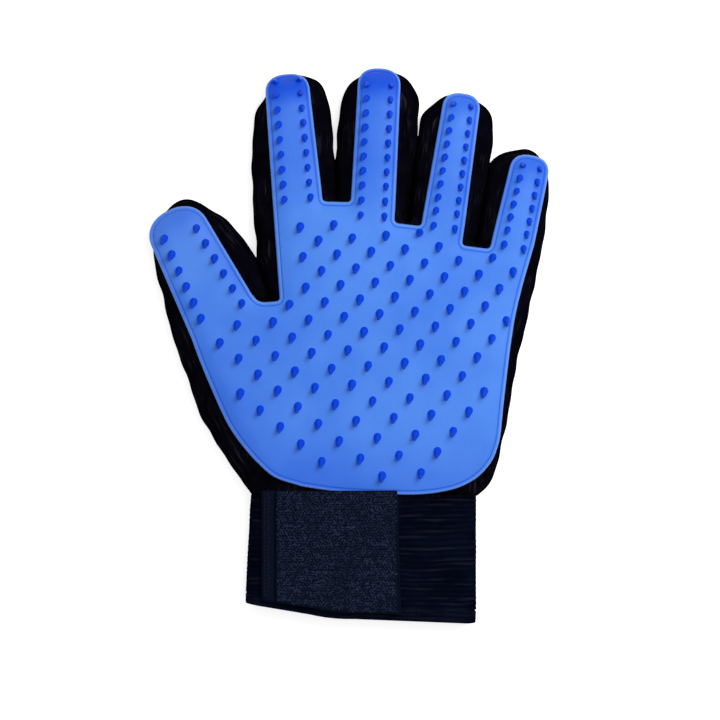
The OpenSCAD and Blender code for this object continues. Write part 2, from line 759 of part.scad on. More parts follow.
module thumb_left_gusset() {
  finger_gusset(thumb, -1);
}

module thumb_right_gusset() {
  finger_gusset(thumb, 1);
}

module index_pad() {
  finger_pad(index);
}

module index_front() {
  finger_front(index);
}

module index_back() {
  finger_back(index);
}

module index_left_gusset() {
  finger_gusset(index, -1);
}

module index_right_gusset() {
  finger_gusset(index, 1);
}

module middle_pad() {
  finger_pad(middle);
}

module middle_front() {
  finger_front(middle);
}

module middle_back() {
  finger_back(middle);
}

module middle_left_gusset() {
  finger_gusset(middle, -1);
}

module middle_right_gusset() {
  finger_gusset(middle, 1);
}

module ring_pad() {
  finger_pad(ring);
}

module ring_front() {
  finger_front(ring);
}

module ring_back() {
  finger_back(ring);
}

module ring_left_gusset() {
  finger_gusset(ring, -1);
}

module ring_right_gusset() {
  finger_gusset(ring, 1);
}

module little_pad() {
  finger_pad(little);
}

module little_front() {
  finger_front(little);
}

module little_back() {
  finger_back(little);
}

module little_left_gusset() {
  finger_gusset(little, -1);
}

module little_right_gusset() {
  finger_gusset(little, 1);
}

palm_pad();
palm_lining();
back_panel();
thumb_side_gusset();
little_side_gusset();
thumb_index_web();
index_middle_web();
middle_ring_web();
ring_little_web();
cuff_front();
cuff_back();
cuff_hem();
loop_patch();
strap_anchor();
strap();
hook_patch();
thumb_pad();
thumb_front();
thumb_back();
thumb_left_gusset();
thumb_right_gusset();
index_pad();
index_front();
index_back();
index_left_gusset();
index_right_gusset();
middle_pad();
middle_front();
middle_back();
middle_left_gusset();
middle_right_gusset();
ring_pad();
ring_front();
ring_back();
ring_left_gusset();
ring_right_gusset();
little_pad();
little_front();
little_back();
little_left_gusset();
little_right_gusset();
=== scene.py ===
import json
import math
from collections import namedtuple

import bpy
import numpy as np
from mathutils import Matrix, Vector
from mathutils.bvhtree import BVHTree
from mathutils.geometry import delaunay_2d_cdt

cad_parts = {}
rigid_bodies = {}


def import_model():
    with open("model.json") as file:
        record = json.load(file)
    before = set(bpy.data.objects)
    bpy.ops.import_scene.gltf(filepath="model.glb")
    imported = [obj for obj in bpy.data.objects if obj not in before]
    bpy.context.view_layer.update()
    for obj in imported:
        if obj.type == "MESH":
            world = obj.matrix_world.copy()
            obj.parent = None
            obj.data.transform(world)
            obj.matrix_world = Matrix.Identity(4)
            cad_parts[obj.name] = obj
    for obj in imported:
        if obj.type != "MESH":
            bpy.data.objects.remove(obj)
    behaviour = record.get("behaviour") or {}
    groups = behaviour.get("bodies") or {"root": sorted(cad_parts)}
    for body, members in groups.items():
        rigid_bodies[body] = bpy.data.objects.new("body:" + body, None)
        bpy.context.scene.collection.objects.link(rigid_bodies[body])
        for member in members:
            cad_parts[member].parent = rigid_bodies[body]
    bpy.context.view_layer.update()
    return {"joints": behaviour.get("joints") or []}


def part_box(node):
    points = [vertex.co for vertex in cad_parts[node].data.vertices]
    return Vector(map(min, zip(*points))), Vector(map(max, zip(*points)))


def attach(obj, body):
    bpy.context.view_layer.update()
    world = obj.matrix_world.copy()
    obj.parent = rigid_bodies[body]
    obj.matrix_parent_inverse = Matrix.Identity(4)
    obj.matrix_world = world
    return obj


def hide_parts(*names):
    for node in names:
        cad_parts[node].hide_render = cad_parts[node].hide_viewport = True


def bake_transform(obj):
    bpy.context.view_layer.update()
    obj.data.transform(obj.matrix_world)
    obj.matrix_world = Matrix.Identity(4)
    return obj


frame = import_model()
joints = {j["name"]: j for j in frame["joints"]}
MM = 0.001

# Sizes of the glove, in millimetres
PALM_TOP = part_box("palm_lining")[1][2] / MM  # palm-side cloth above the table
PALM_SINK = 0.4  # room for the slow waves of the palm
# Slow waves of the palm: height, then length and start across and along
PALM_WAVES = [(0.3, 21, 0.7, 27, 0.3), (0.16, 9, -1.1, 13, 0.4)]
RUBBER = 2.0  # rubber sheet
RUBBER_LIFT = 0.06  # its underside over the cloth
CLOTH = 1.0  # cloth panels
BELT = 0.46  # level of the outline of the cloth, as a share of the palm's height
CROWN = 2.1  # how much lower a finger is at its side seams
CROWN_W = 9.0  # width over which it falls
FINGER_PITCH = math.tan(math.radians(3))  # fall of a finger towards its tip
PITCH_START = 8.0  # length over which the fall begins
CURL_R = 18.0  # curl of the fingertips
CURL_MOST = 0.93  # share of that radius that a tip reaches at most
BEND_LENGTH = 19.0  # length beyond a crease, where a point is found that nothing uses

# Seams, notches and edges
WRIST_Y = -0.2  # wrist seam
SEAM_MARGIN = 1.0  # cloth between rubber and side seam
SEAM_LIFT = 0.7  # the same above the notches of the rubber
SEAM_CORNER = 1.2  # corners of the side seam there
SEAM_CLEAR = 0.45  # least cloth outside the side seam
SEAM_STITCH = 1.9  # stitches inside the side seams of the back
TIP_TUCK = -0.8  # at the tips the seam is tucked under the rubber
TUCK_START = 11.0  # where the tuck begins, before the round of the tip
TUCK_LENGTH = 10.0
TIP_ROUND = 0.475  # length of the round of a tip, as a share of its width
TIP_TURNS = np.radians(np.arange(0, 90, 6))
TIP_OUT = 1.2  # how the outward direction turns round a tip
PAD_CORNER = 1.9  # corners of the rubber's notches
NOTCH_ARM = 4.0  # straight sides that a corner may use
THUMB_ARM = 8.0  # the same on the thumb
THUMB_CORNER = 3.4  # the thumb's corner is so much rounder
THUMB_NOTCH = 0.7  # its notch is so much wider at the index finger
EDGE_LUMPS = [(1.9, 1, 1.0), (3.1, 2, 1.0), (5.3, -1, 0.8)]  # length, shift for each digit, share
LUMP = 0.14  # height of the lumps along the outline of the cloth
LUMP_ENDS = 6.0  # length over which they fade at a crotch

# Steps of the meshes
CLOTH_STEP = 1.15  # along the outline of the cloth and its seams
SIDE_STEP = 1.3  # along the sides of the hand
STRIP_STEP = 0.8  # along the rubber strips
PAD_STEP = 0.62  # along the edge of the rubber
WRIST_STEP = 1.5  # along the wrist seam
CREASE_STEP = 1.2  # along the creases of the cloth
ROLL_STEP = 0.8  # along a seam roll
CLOTH_GRID = 2.3  # over the cloth
PAD_GRID = 2.0  # over the rubber
CLOTH_LEAST = 0.2  # least distance between points of the cloth
PAD_LEAST = 0.13  # and of the rubber
SAME = 1e-3  # points closer than this are one point

# Nubs
NUB_H = 3.5
NUB_FOOT = 1.7  # radius of the foot
NUB_LEAN = (-0.55, -2.5)  # the tips lean to the wrist
NUB_SHIFT = (0.9, 0.4)  # from the middle that the photograph shows to the foot
NUB_START = 3.1  # first row beyond a crease
NUB_EDGE = 2.0  # least distance from the edge of the rubber
NUB_HEEL_EDGE = 5.6  # the same below the thumb
NUB_LEFT = -30.0  # left end of the palm's rows beside the index finger
NUB_ORIGIN = (-27.1, 110.9)  # first nub of the palm, from the middle of the wrist seam
NUB_STEP = (13.9, 1.0)  # to the next nub of a row
NUB_ROW = (7.5, -5.5)  # to the next row
NUB_FAN = 0.0016  # how the rows spread towards the wrist
NUB_HEEL_RIGHT = (36.7, 10.6)  # the nubs end left of the line from the waist to this point
PAD_WAIST = (60.8, 65.4)

# Rubber rim: distance from the edge of the rubber, height over the sheet
RIM = np.array([(0, -0.42), (0.12, -0.1), (0.3, 0.06), (0.6, 0.15), (0.9, 0.13), (1.15, 0.04),
                (1.32, -0.08), (1.48, -0.25), (1.6, -0.3), (1.72, -0.25), (1.9, -0.06), (2.4, 0), (5, 0)])

# Cuff
CUFF_TOP_W = 92.6  # width at the wrist seam
CUFF_FLARE = 2.4  # so much wider at the hem
CUFF_SHIFT = -1.2  # so far to the left at the hem
CUFF_ROUND = 5.0  # radius of its sides
CUFF_WALL = 1.4
CUFF_LENGTH = 50.0
CUFF_CUT = 0.049  # length of the cut elastic, in metres
HEM_H = 5.0
RIB_PITCH = 2.15
RIB_RISE = 0.34
LOW_BEND = (-12.0, -50.6)  # bend in the lower edge, from the middle of the wrist seam
LOW_RUN = 6.0  # the edge rises 1 in so much to the left of it
LOW_FALL = 0.04  # and falls so much to the right
LOW_ROUND = 18.0  # length of the bend

cuff_low, cuff_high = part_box("cuff_front")
SEAM_MIDDLE = np.array([(cuff_low[0] + cuff_high[0]) / 2 / MM - CUFF_SHIFT, cuff_high[1] / MM])


def from_wrist(points):
    """Points measured from the middle of the wrist seam, in the frame."""
    return np.asarray(points, float) + SEAM_MIDDLE


# The five digits
NubRows = namedtuple("NubRows", "pitch near far size short ahead")


class Digit:
    """A thumb or finger: its crease comes from the frame, its widths from the photograph."""

    def __init__(self, name, body, length, left, right, curl, blunt, deep, nubs, cloth):
        joint = joints[name + "_bend"]
        self.name, self.body, self.length, self.curl, self.nubs = name, body, length, curl, nubs
        self.left, self.right, self.blunt, self.deep, self.cloth = left, right, blunt, deep, cloth
        self.root = np.array(joint["pos_m"][:2]) / MM
        self.across = np.array(joint["axis"][:2])
        self.along = np.array([-self.across[1], self.across[0]])

    def at(self, u, v):
        return self.root + np.multiply.outer(u, self.along) + np.multiply.outer(v, self.across)

    def local(self, xy):
        return (xy - self.root) @ self.along, (xy - self.root) @ self.across

    def half(self, side, u):
        wide = self.left if side < 0 else self.right
        return wide[0] + (wide[1] - wide[0]) * np.clip(u / self.length, 0, 1)

    def strip(self, margin, step=1.0, tip_margin=None):
        """Edge of the rubber strip, or a line beside it, from the left crease corner round the tip."""
        tip_margin = margin if tip_margin is None else tip_margin
        reach = TIP_ROUND * (self.left[1] + self.right[1])
        start = self.length - reach
        flank = np.arange(0, start, step)
        beside = margin + (tip_margin - margin) * np.clip((flank - start + TUCK_START) / TUCK_LENGTH, 0, 1)
        sides = []
        for side in (-1, 1):
            wide = self.half(side, start)
            u = start + reach * np.sin(TIP_TURNS) ** self.blunt
            v = wide * np.cos(TIP_TURNS) ** self.blunt
            out = unit(np.c_[np.sin(TIP_TURNS) ** TIP_OUT / reach, np.cos(TIP_TURNS) ** TIP_OUT / wide])
            u, v = u + tip_margin * out[:, 0], v + tip_margin * out[:, 1]
            sides.append([np.r_[flank, u], side * np.r_[self.half(side, flank) + beside, v]])
        tip = self.at(self.length + tip_margin, 0)
        return np.vstack([self.at(*sides[0]), tip[None], self.at(*sides[1])[::-1]])

    def fall(self, u):
        """How far the palm-side cloth lies below the palm at a distance from the crease."""
        u = np.maximum(u, 0)
        slope = FINGER_PITCH * np.where(u < PITCH_START, u * u / (2 * PITCH_START), u - PITCH_START / 2)
        x = np.clip(u - self.length + self.curl, 0, CURL_MOST * CURL_R)
        return slope + CURL_R - np.sqrt(CURL_R ** 2 - x * x)


# Each digit: length of its rubber, half widths left and right at crease and tip, curl and shape of the tip,
# depth of its painted shade, rows of nubs (pitch, half spacing at crease and tip, size, rows left off at the
# tip, how far the left row is ahead), outline of the cloth as (along, across)
thumb = Digit("thumb", "thumb", 51.6, (15.3, 11.2), (15.6, 12.9), 9, 0.9, 0.0,
              NubRows(7.25, 9.1, 6.2, 0.97, 1, 2.4),
              [(0, -23), (7, -21.5), (14, -19.9), (22, -17.9), (30, -16), (36, -14), (41, -11.9),
               (46, -9.2), (49, -6.4), (51, -3.4), (52.3, 0), (53.2, 4), (53.1, 8), (51.6, 11),
               (48.6, 13.6), (45, 16.2), (41, 18.7), (37, 20.5), (32, 22), (26, 23.1), (20, 23.8)])
index = Digit("index", "index_finger", 49.2, (10.3, 9.3), (10.2, 8.7), 14, 0.8, 0.38,
              NubRows(6.2, 5.4, 4.8, 0.82, 0, 0),
              [(-19.3, -18.9), (-10, -18.9), (0, -18.7), (10, -18.1), (18, -17.3), (26, -16.1),
               (32, -15), (36, -13.6), (39.3, -11.2), (41.8, -9), (44.8, -7.2), (47.3, -4.4), (48.4, -1),
               (48.7, 3), (48.4, 6.4), (47.3, 9.4), (45.1, 12.6), (42, 14.8), (38, 16.1), (33, 16.6),
               (26, 16.8), (18, 16.8)])
middle = Digit("middle", "middle_finger", 52.5, (9.3, 8.9), (9.2, 8.7), 14, 0.8, 0.34,
               NubRows(6, 4.9, 4.9, 0.82, 0, 0),
               [(19, -16.6), (26, -16.3), (33, -15.9), (38, -15.3), (42, -14.3), (45.3, -12.3),
                (48, -9.4), (50, -6.8), (51.5, -3.5), (52, 0), (51.5, 4), (50.8, 7.2), (49, 11),
                (46, 14.1), (42, 16.3), (37, 17), (30, 17)])
ring = Digit("ring", "ring_finger", 53.2, (9.5, 8), (8.3, 7.3), 9, 0.8, 0.2,
             NubRows(5.6, 4.4, 3.6, 0.8, 0, 0),
             [(37, -16.4), (41, -16.1), (44, -14.9), (47, -12.5), (50, -9), (51.6, -6.3), (52.5, -3),
              (52.8, 0), (52.1, 3.6), (51, 7), (49.2, 10), (46, 12.5), (42, 14), (37, 14.8), (31, 15)])
little = Digit("little", "little_finger", 35.7, (9.5, 8.6), (8.1, 7.5), 9, 0.8, 0.06,
               NubRows(5.5, 4.1, 3.5, 0.8, 0, 0),
               [(31, -16), (33.6, -13.6), (35.7, -10.6), (37.2, -7.4), (38.1, -4), (37.8, -1), (36.6, 2),
                (34.6, 4.2), (32.4, 5.9), (29.6, 7.3), (26, 8.8), (21, 9.9), (14, 10.9),
                (7, 11.4), (0, 11.8)])
DIGITS = [thumb, index, middle, ring, little]

# Crotches: top of the touching cloth, bottom of the valley, level of the rubber's notch left and right
Crotch = namedtuple("Crotch", "top valley level")
CROTCHES = [Crotch((-44.6, 98.6), (-38.8, 81.3), (79.9, 80.6)),
            Crotch((-11.8, 139.2), (-11.3, 123.4), (121.9, 121.6)),
            Crotch((22.6, 148.8), (18.3, 114), (113, 111.7)),
            Crotch((52.5, 138), (46.7, 104.5), (103.7, 102.2))]

# Sides of the hand and of the rubber, from the middle of the wrist seam, wrist first on the left
HAND_LEFT = [(-46.4, WRIST_Y), (-48, 2.6), (-52.1, 8), (-56.4, 14), (-60.2, 20), (-63.9, 26), (-67.3, 32),
             (-71.8, 44), (-76, 56)]
HAND_RIGHT = [(73.4, 98), (71, 86), (68.3, 74), (65.5, 62), (63, 50), (61, 38), (58.8, 26), (57.5, 20),
              (56, 14), (54, 8), (51.1, 3), (47.4, WRIST_Y)]
CORE_LEFT = [(-42.4, WRIST_Y), (-44.8, 6), (-47.8, 13), (-51.6, 20), (-55.6, 27), (-61.2, 38), (-66.4, 50)]
CORE_RIGHT = [(69.8, 98), (66.5, 86), (63.7, 74), (62, 62), (60.4, 50), (59, 38), (57.5, 27), (56, 20),
              (53.7, 13), (50.4, 7.5), (47.4, 3), (45.4, WRIST_Y)]
PAD_SIDE_LEFT = [(-36.6, 7.6), (-43.9, 13.7), (-49.4, 19.8), (-54, 26), (-57.5, 32), (-62.9, 44), (-67.9, 56)]
PAD_SIDE_RIGHT = [(69, 98), (65.6, 86), (62.8, 74), (60.9, 62), (59.4, 50), (58, 38), (56.8, 26), (55.5, 20),
                  (52.9, 14), (47.6, 8), (40.8, 4), (33.3, 1.8), (24, 0.6), (13, 0.5), (0, 0.9),
                  (-13, 1.9), (-25.4, 3.8)]


# Lines and distances
def spaced(line, step):
    """The same line with a point about every step."""
    line = np.asarray(line, float)
    far = np.r_[0, np.cumsum(np.linalg.norm(np.diff(line, axis=0), axis=1))]
    at = np.linspace(0, far[-1], max(2, int(round(far[-1] / step)) + 1))
    return np.stack([np.interp(at, far, line[:, k]) for k in range(line.shape[1])], axis=1)


def smooth_line(points, step):
    """A smooth line through the points."""
    p = np.asarray(points, float)
    p = np.vstack([2 * p[0] - p[1], p, 2 * p[-1] - p[-2]])
    t = np.linspace(0, 1, 14, endpoint=False)[:, None]
    runs = [0.5 * (2 * b + (c - a) * t + (2 * a - 5 * b + 4 * c - d) * t ** 2
                   + (3 * b - a - 3 * c + d) * t ** 3)
            for a, b, c, d in zip(p[:-3], p[1:-2], p[2:-1], p[3:])]
    return spaced(np.vstack(runs + [p[-2:-1]]), step)


def rounded(a, p, b, r, steps=6):
    """The corner p between a and b, rounded."""
    da, db = (a - p) / np.linalg.norm(a - p), (b - p) / np.linalg.norm(b - p)
    half = math.acos(np.clip(da @ db, -1, 1)) / 2
    s = np.linspace(0, 1, steps + 1)[:, None]
    reach = min(r / math.tan(half), 0.45 * np.linalg.norm(a - p), 0.45 * np.linalg.norm(b - p))
    start, end = p + da * reach, p + db * reach
    return (1 - s) ** 2 * start + 2 * s * (1 - s) * p + s ** 2 * end


def nearest(points, line, chunk=1500):
    """Distance from each point to an open line, and the nearest point on it."""
    a, d = line[:-1], np.diff(line, axis=0)
    size = np.maximum((d * d).sum(1), 1e-12)
    gaps, feet = np.empty(len(points)), np.empty((len(points), 2))
    for k in range(0, len(points), chunk):
        p = points[k:k + chunk, None, :]
        t = np.clip(((p - a) * d).sum(2) / size, 0, 1)
        foot = a + t[..., None] * d
        gap = ((p - foot) ** 2).sum(2)
        best = gap.argmin(1)
        rows = np.arange(len(best))
        gaps[k:k + chunk], feet[k:k + chunk] = np.sqrt(gap[rows, best]), foot[rows, best]
    return gaps, feet


def gap_from(points, line):
    return nearest(points, line)[0]


def inside(points, loop, chunk=2000):
    """Which points lie inside a closed loop."""
    a, b = loop, np.roll(loop, -1, axis=0)
    rise = np.where(b[:, 1] == a[:, 1], 1e-12, b[:, 1] - a[:, 1])
    found = np.zeros(len(points), bool)
    for k in range(0, len(points), chunk):
        x, y = points[k:k + chunk, 0, None], points[k:k + chunk, 1, None]
        spans = (a[:, 1] > y) != (b[:, 1] > y)
        crossing = a[:, 0] + (y - a[:, 1]) * (b[:, 0] - a[:, 0]) / rise
        found[k:k + chunk] = (spans & (x < crossing)).sum(1) % 2 == 1
    return found


def thin_out(points, gap, kept=()):
    """Drops points that lie closer than gap to an earlier one."""
    cells, chosen = {}, []
    for k, (x, y) in enumerate([*kept, *points]):
        i, j = int(math.floor(x / gap)), int(math.floor(y / gap))
        near = [q for a in (-1, 0, 1) for b in (-1, 0, 1) for q in cells.get((i + a, j + b), ())]
        if k >= len(kept) and any((x - p) ** 2 + (y - q) ** 2 < gap * gap for p, q in near):
            continue
        cells.setdefault((i, j), []).append((x, y))
        if k >= len(kept):
            chosen.append((x, y))
    return np.array(chosen).reshape(-1, 2)


def hex_grid(low, high, pitch):
    rows = np.arange(low[1], high[1], pitch * math.sqrt(3) / 2)
    return np.array([(x + (k % 2) * pitch / 2, y) for k, y in enumerate(rows)
                     for x in np.arange(low[0], high[0], pitch)])


def unit(rows):
    return rows / np.maximum(np.linalg.norm(rows, axis=1), 1e-12)[:, None]


def ramp(value, start, length):
    """0 up to the start, and 1 beyond the length."""
    return np.clip((value - start) / length, 0, 1)


def run_of(base, count, closed=False):
    """Edges along a run of points."""
    return [(base + k, base + (k + 1) % count) for k in range(count if closed else count - 1)]


# Triangles
def sides_of(t):
    return (t[0], t[1]), (t[1], t[2]), (t[2], t[0])


def side_key(a, b):
    return min(a, b), max(a, b)


def border_of(tri):
    """The sides that belong to one triangle only."""
    use = {}
    for t in tri:
        for side in sides_of(t):
            use[side_key(*side)] = use.get(side_key(*side), 0) + 1
    return [side for t in tri for side in sides_of(t) if use[side_key(*side)] == 1]


def wall_of(border, count):
    """Faces from a border down to the same border of the lower side."""
    return np.array([f for a, b in border for f in ((b, a, a + count), (b, a + count, b + count))])


def facing_of(points, faces):
    p = points[faces]
    return np.cross(p[:, 1] - p[:, 0], p[:, 2] - p[:, 0])


# Outlines
def notch(k, lift, radius):
    """Bottom of the notch between digit k and the next: from one strip edge to the other."""
    f, g = DIGITS[k], DIGITS[k + 1]
    level = np.array(CROTCHES[k].level) + lift + SEAM_MIDDLE[1]
    a, b = f.at(0, f.right[0] + lift), g.at(0, -g.left[0] - lift - (0 if k else THUMB_NOTCH))
    low_a = a + f.along * (level[0] - a[1]) / f.along[1]
    low_b = b + g.along * (level[1] - b[1]) / g.along[1]
    up_a, up_b = low_a + f.along * (NOTCH_ARM if k else THUMB_ARM), low_b + g.along * NOTCH_ARM
    wide = radius if k else radius * THUMB_CORNER
    return np.vstack([rounded(up_a, low_a, low_b, wide), rounded(low_a, low_b, up_b, radius)])


def trimmed(k, strip, cut):
    """The edge of a strip without the points that lie past the start of the notch after it."""
    u, v = DIGITS[k].local(strip)
    return strip[(v < 0) | (u > DIGITS[k].local(cut[0])[0])]


def joined(*parts, step=None):
    """One line from several, without doubled points."""
    line = np.vstack(parts)
    keep = np.r_[True, np.linalg.norm(np.diff(line, axis=0), axis=1) > SAME]
    return line[keep] if step is None else spaced(line[keep], step)


def core_chains():
    """Side seams: one line for each digit, from crotch to crotch, with the sides of the hand."""
    strips = [d.strip(SEAM_MARGIN, 1.0, TIP_TUCK) for d in DIGITS]
    before, after = [], []
    for k in range(4):
        cut = notch(k, SEAM_LIFT, SEAM_CORNER)
        strips[k] = trimmed(k, strips[k], cut)
        half = len(cut) // 2
        bottom = (cut[half - 1] + cut[half]) / 2
        after.append(np.vstack([cut[:half], [bottom]]))
        before.append(np.vstack([[bottom], cut[half:]]))
    before.insert(0, smooth_line(np.vstack([from_wrist(CORE_LEFT), strips[0][:1]]), SIDE_STEP))
    after.append(smooth_line(np.vstack([strips[4][-1:], from_wrist(CORE_RIGHT)]), SIDE_STEP))
    return [joined(*parts, step=CLOTH_STEP) for parts in zip(before, strips, after)]


def pad_outline():
    """Edge of the rubber, from the left of the heel round the thumb and the fingers."""
    strips = [d.strip(0, STRIP_STEP) for d in DIGITS]
    parts = [smooth_line(np.vstack([from_wrist(PAD_SIDE_RIGHT[-1:] + PAD_SIDE_LEFT), strips[0][:1]]), 1)]
    for k in range(4):
        cut = notch(k, 0, PAD_CORNER)
        parts += [trimmed(k, strips[k], cut), cut]
    heel = smooth_line(np.vstack([strips[4][-1:], from_wrist(PAD_SIDE_RIGHT)]), 1)
    return joined(*parts, strips[4], heel, step=PAD_STEP)[:-1]


def cloth_chains():
    """Outline of the cloth: one line for each digit, from valley to valley."""
    chains = []
    touch = (0.1, 0)
    for k, d in enumerate(DIGITS):
        start = from_wrist([CROTCHES[k - 1].top]) + touch if k else from_wrist(HAND_LEFT)
        end = from_wrist([CROTCHES[k].top]) - touch if k < 4 else from_wrist(HAND_RIGHT)
        line = smooth_line(np.vstack([start, d.at(*np.transpose(d.cloth)), end]), CLOTH_STEP)
        far = np.arange(len(line)) * CLOTH_STEP
        lumps = LUMP * sum(share * np.sin(far / long + shift * k) for long, shift, share in EDGE_LUMPS)
        run = np.gradient(line, axis=0)
        ends = np.clip(np.minimum(far, far[::-1]) / LUMP_ENDS, 0, 1)
        line += (lumps * ends / np.linalg.norm(run, axis=1))[:, None] * np.c_[-run[:, 1], run[:, 0]]
        # Above the wrist the cloth stays outside its side seam
        gap, foot = nearest(line, CORE_LINE)
        within = inside(line, CORE_LINE)
        out = np.where(within, -1.0, 1.0)[:, None] * (line - foot) / np.maximum(gap, 1e-6)[:, None]
        close = ((gap < SEAM_CLEAR) | within) & (line[:, 1] > SEAM_MIDDLE[1] + 6)
        line[close] = (foot + SEAM_CLEAR * out)[close]
        if k:
            valley = from_wrist(CROTCHES[k - 1].valley)
            line = np.vstack([spaced(np.vstack([valley, line[0]]), CLOTH_STEP)[:-1], line])
        if k < 4:
            valley = from_wrist(CROTCHES[k].valley)
            line = np.vstack([line, spaced(np.vstack([line[-1], valley]), CLOTH_STEP)[1:]])
        chains.append(line)
    return chains


CORE = core_chains()
CORE_LINE = joined(*CORE)
CLOTH_EDGE = cloth_chains()
CLOTH_LINE = joined(*CLOTH_EDGE)
PAD_LOOP = pad_outline()
PAD_LINE = np.vstack([PAD_LOOP, PAD_LOOP[:1]])


def crease_line(d, loop, step):
    """The crease of a digit, right across a closed outline."""
    a, b = loop, np.roll(loop, -1, axis=0)
    ua, va = d.local(a)
    ub, vb = d.local(b)
    hit = (ua > 0) != (ub > 0)
    v = va[hit] + (vb[hit] - va[hit]) * (-ua[hit]) / (ub[hit] - ua[hit])
    left, right = v[v < 0].max(), v[v > 0].min()
    return spaced(d.at(np.zeros(2), np.array([left - 0.02, right + 0.02])), step)


# Flat meshes
def flat_mesh(loops, creases, fill, outline):
    """Triangles over an outline. Returns places, triangles and the digit of each (-1 is the hand)."""
    points, edges = [], []
    for line, closed in loops:
        edges += run_of(len(points), len(line), closed)
        points += list(line)
    first_crease = len(edges)
    for line in creases:
        edges += run_of(len(points), len(line))
        points += list(line)
    crease_edges = set(range(first_crease, len(edges)))
    points += list(fill)
    place, out_edges, faces, _, from_edges, _ = delaunay_2d_cdt(
        [Vector((float(x), float(y))) for x, y in points], edges, [], 0, 1e-4)
    place = np.array([(p.x, p.y) for p in place])
    tri = np.array([f for f in faces if len(f) == 3])
    a, b, c = place[tri[:, 0]], place[tri[:, 1]], place[tri[:, 2]]
    area = (b[:, 0] - a[:, 0]) * (c[:, 1] - a[:, 1]) - (b[:, 1] - a[:, 1]) * (c[:, 0] - a[:, 0])
    tri[area < 0] = tri[area < 0][:, ::-1]
    tri = tri[(np.abs(area) > 1e-7) & inside((a + b + c) / 3, outline)]

    # Triangles that no crease parts belong together
    walls = {side_key(*e) for e, o in zip(out_edges, from_edges) if crease_edges.intersection(o)}
    owner = np.arange(len(tri))

    def top(k):
        while owner[k] != k:
            owner[k] = owner[owner[k]]
            k = owner[k]
        return k

    seen = {}
    for k, t in enumerate(tri):
        for side in sides_of(t):
            key = side_key(*side)
            if key in walls:
                continue
            if key in seen:
                owner[top(k)] = top(seen[key])
            seen[key] = k
    group = np.array([top(k) for k in range(len(tri))])
    middle_of = place[tri].mean(1)
    digit = np.full(len(tri), -1)
    for k, d in enumerate(DIGITS):
        target = d.at(0.5 * d.length, 0)
        seed = np.argmin(((middle_of - target) ** 2).sum(1))
        digit[group == group[seed]] = k
    return place, tri, digit


def digit_of_points(count, tri, digit):
    found = np.full(count, -1)
    for k in range(5):
        found[np.unique(tri[digit == k])] = k
    return found


def palm_height(xy, digit):
    """Height of the palm-side cloth inside the side seams."""
    x, y = xy.T
    gap = np.where(inside(xy, CORE_LINE), gap_from(xy, CORE_LINE), 0)
    waves = sum(high * np.sin(x / a + b) * np.sin(y / c + d) for high, a, b, c, d in PALM_WAVES)
    high = PALM_TOP + waves - PALM_SINK
    for k, d in enumerate(DIGITS):
        mine = digit == k
        high[mine] -= d.fall(d.local(xy[mine])[0])
    return high - CROWN * (1 - np.minimum(1, gap / CROWN_W)) ** 2


# Blender pieces
def make_piece(name, points, faces, finish):
    mesh = bpy.data.meshes.new(name)
    corners = [tuple(int(i) for i in f) for f in faces]
    mesh.from_pydata([tuple(p) for p in np.asarray(points, float) * MM], [], corners)
    mesh.materials.append(finish)
    mesh.polygons.foreach_set("use_smooth", np.full(len(mesh.polygons), True))
    mesh.update()
    piece = bpy.data.objects.new(name, mesh)
    bpy.context.scene.collection.objects.link(piece)
    return piece


def mark(piece, label, values):
    """A value on every point of a piece, for its finish."""
    layer = piece.data.attributes.new(label, "FLOAT", "POINT")
    layer.data.foreach_set("value", np.asarray(values, np.float32).ravel())


def point_places(piece):
    place = np.empty(len(piece.data.vertices) * 3)
    piece.data.vertices.foreach_get("co", place)
    return place.reshape(-1, 3)


def weave_map(piece, coords):
    """UV map in metres: across or around the cloth, and along it."""
    layer = piece.data.uv_layers.new(name="Weave")
    ids = np.empty(len(piece.data.loops), int)
    piece.data.loops.foreach_get("vertex_index", ids)
    layer.data.foreach_set("uv", (np.asarray(coords, float)[ids] * MM).astype(np.float32).ravel())


def plain_mesh(piece):
    """Applies the modifiers of a piece, so that a plain mesh is left."""
    bpy.context.view_layer.update()
    graph = bpy.context.evaluated_depsgraph_get()
    mesh = bpy.data.meshes.new_from_object(piece.evaluated_get(graph), depsgraph=graph)
    mesh.name = piece.name
    piece.modifiers.clear()
    old, piece.data = piece.data, mesh
    bpy.data.meshes.remove(old)
    return piece


def thicken(piece, thickness, sharp=50):
    wall = piece.modifiers.new("wall", "SOLIDIFY")
    wall.thickness, wall.offset, wall.use_rim = thickness * MM, -1, True
    plain_mesh(piece)
    piece.data.set_sharp_from_angle(angle=math.radians(sharp))


def used_only(points, faces, *others):
    """Only the points that the faces use."""
    used, faces = np.unique(np.asarray(faces), return_inverse=True)
    return [points[used], faces.reshape(-1, 3), *[o[used] for o in others]]


def fit_to_body(piece, body, nodes=()):
    """Hides the CAD parts it replaces; a piece of the hand is parented to its body, a digit's or the strap's
    piece only has its transform baked in.
    """
    if nodes:
        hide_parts(*nodes)
    for d in DIGITS:
        if d.body == body:
            a, b = d.at(0, 0) * MM, d.at(BEND_LENGTH, 0) * MM
            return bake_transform(piece)
    if body == "wrist_strap":
        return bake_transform(piece)
    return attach(piece, body)


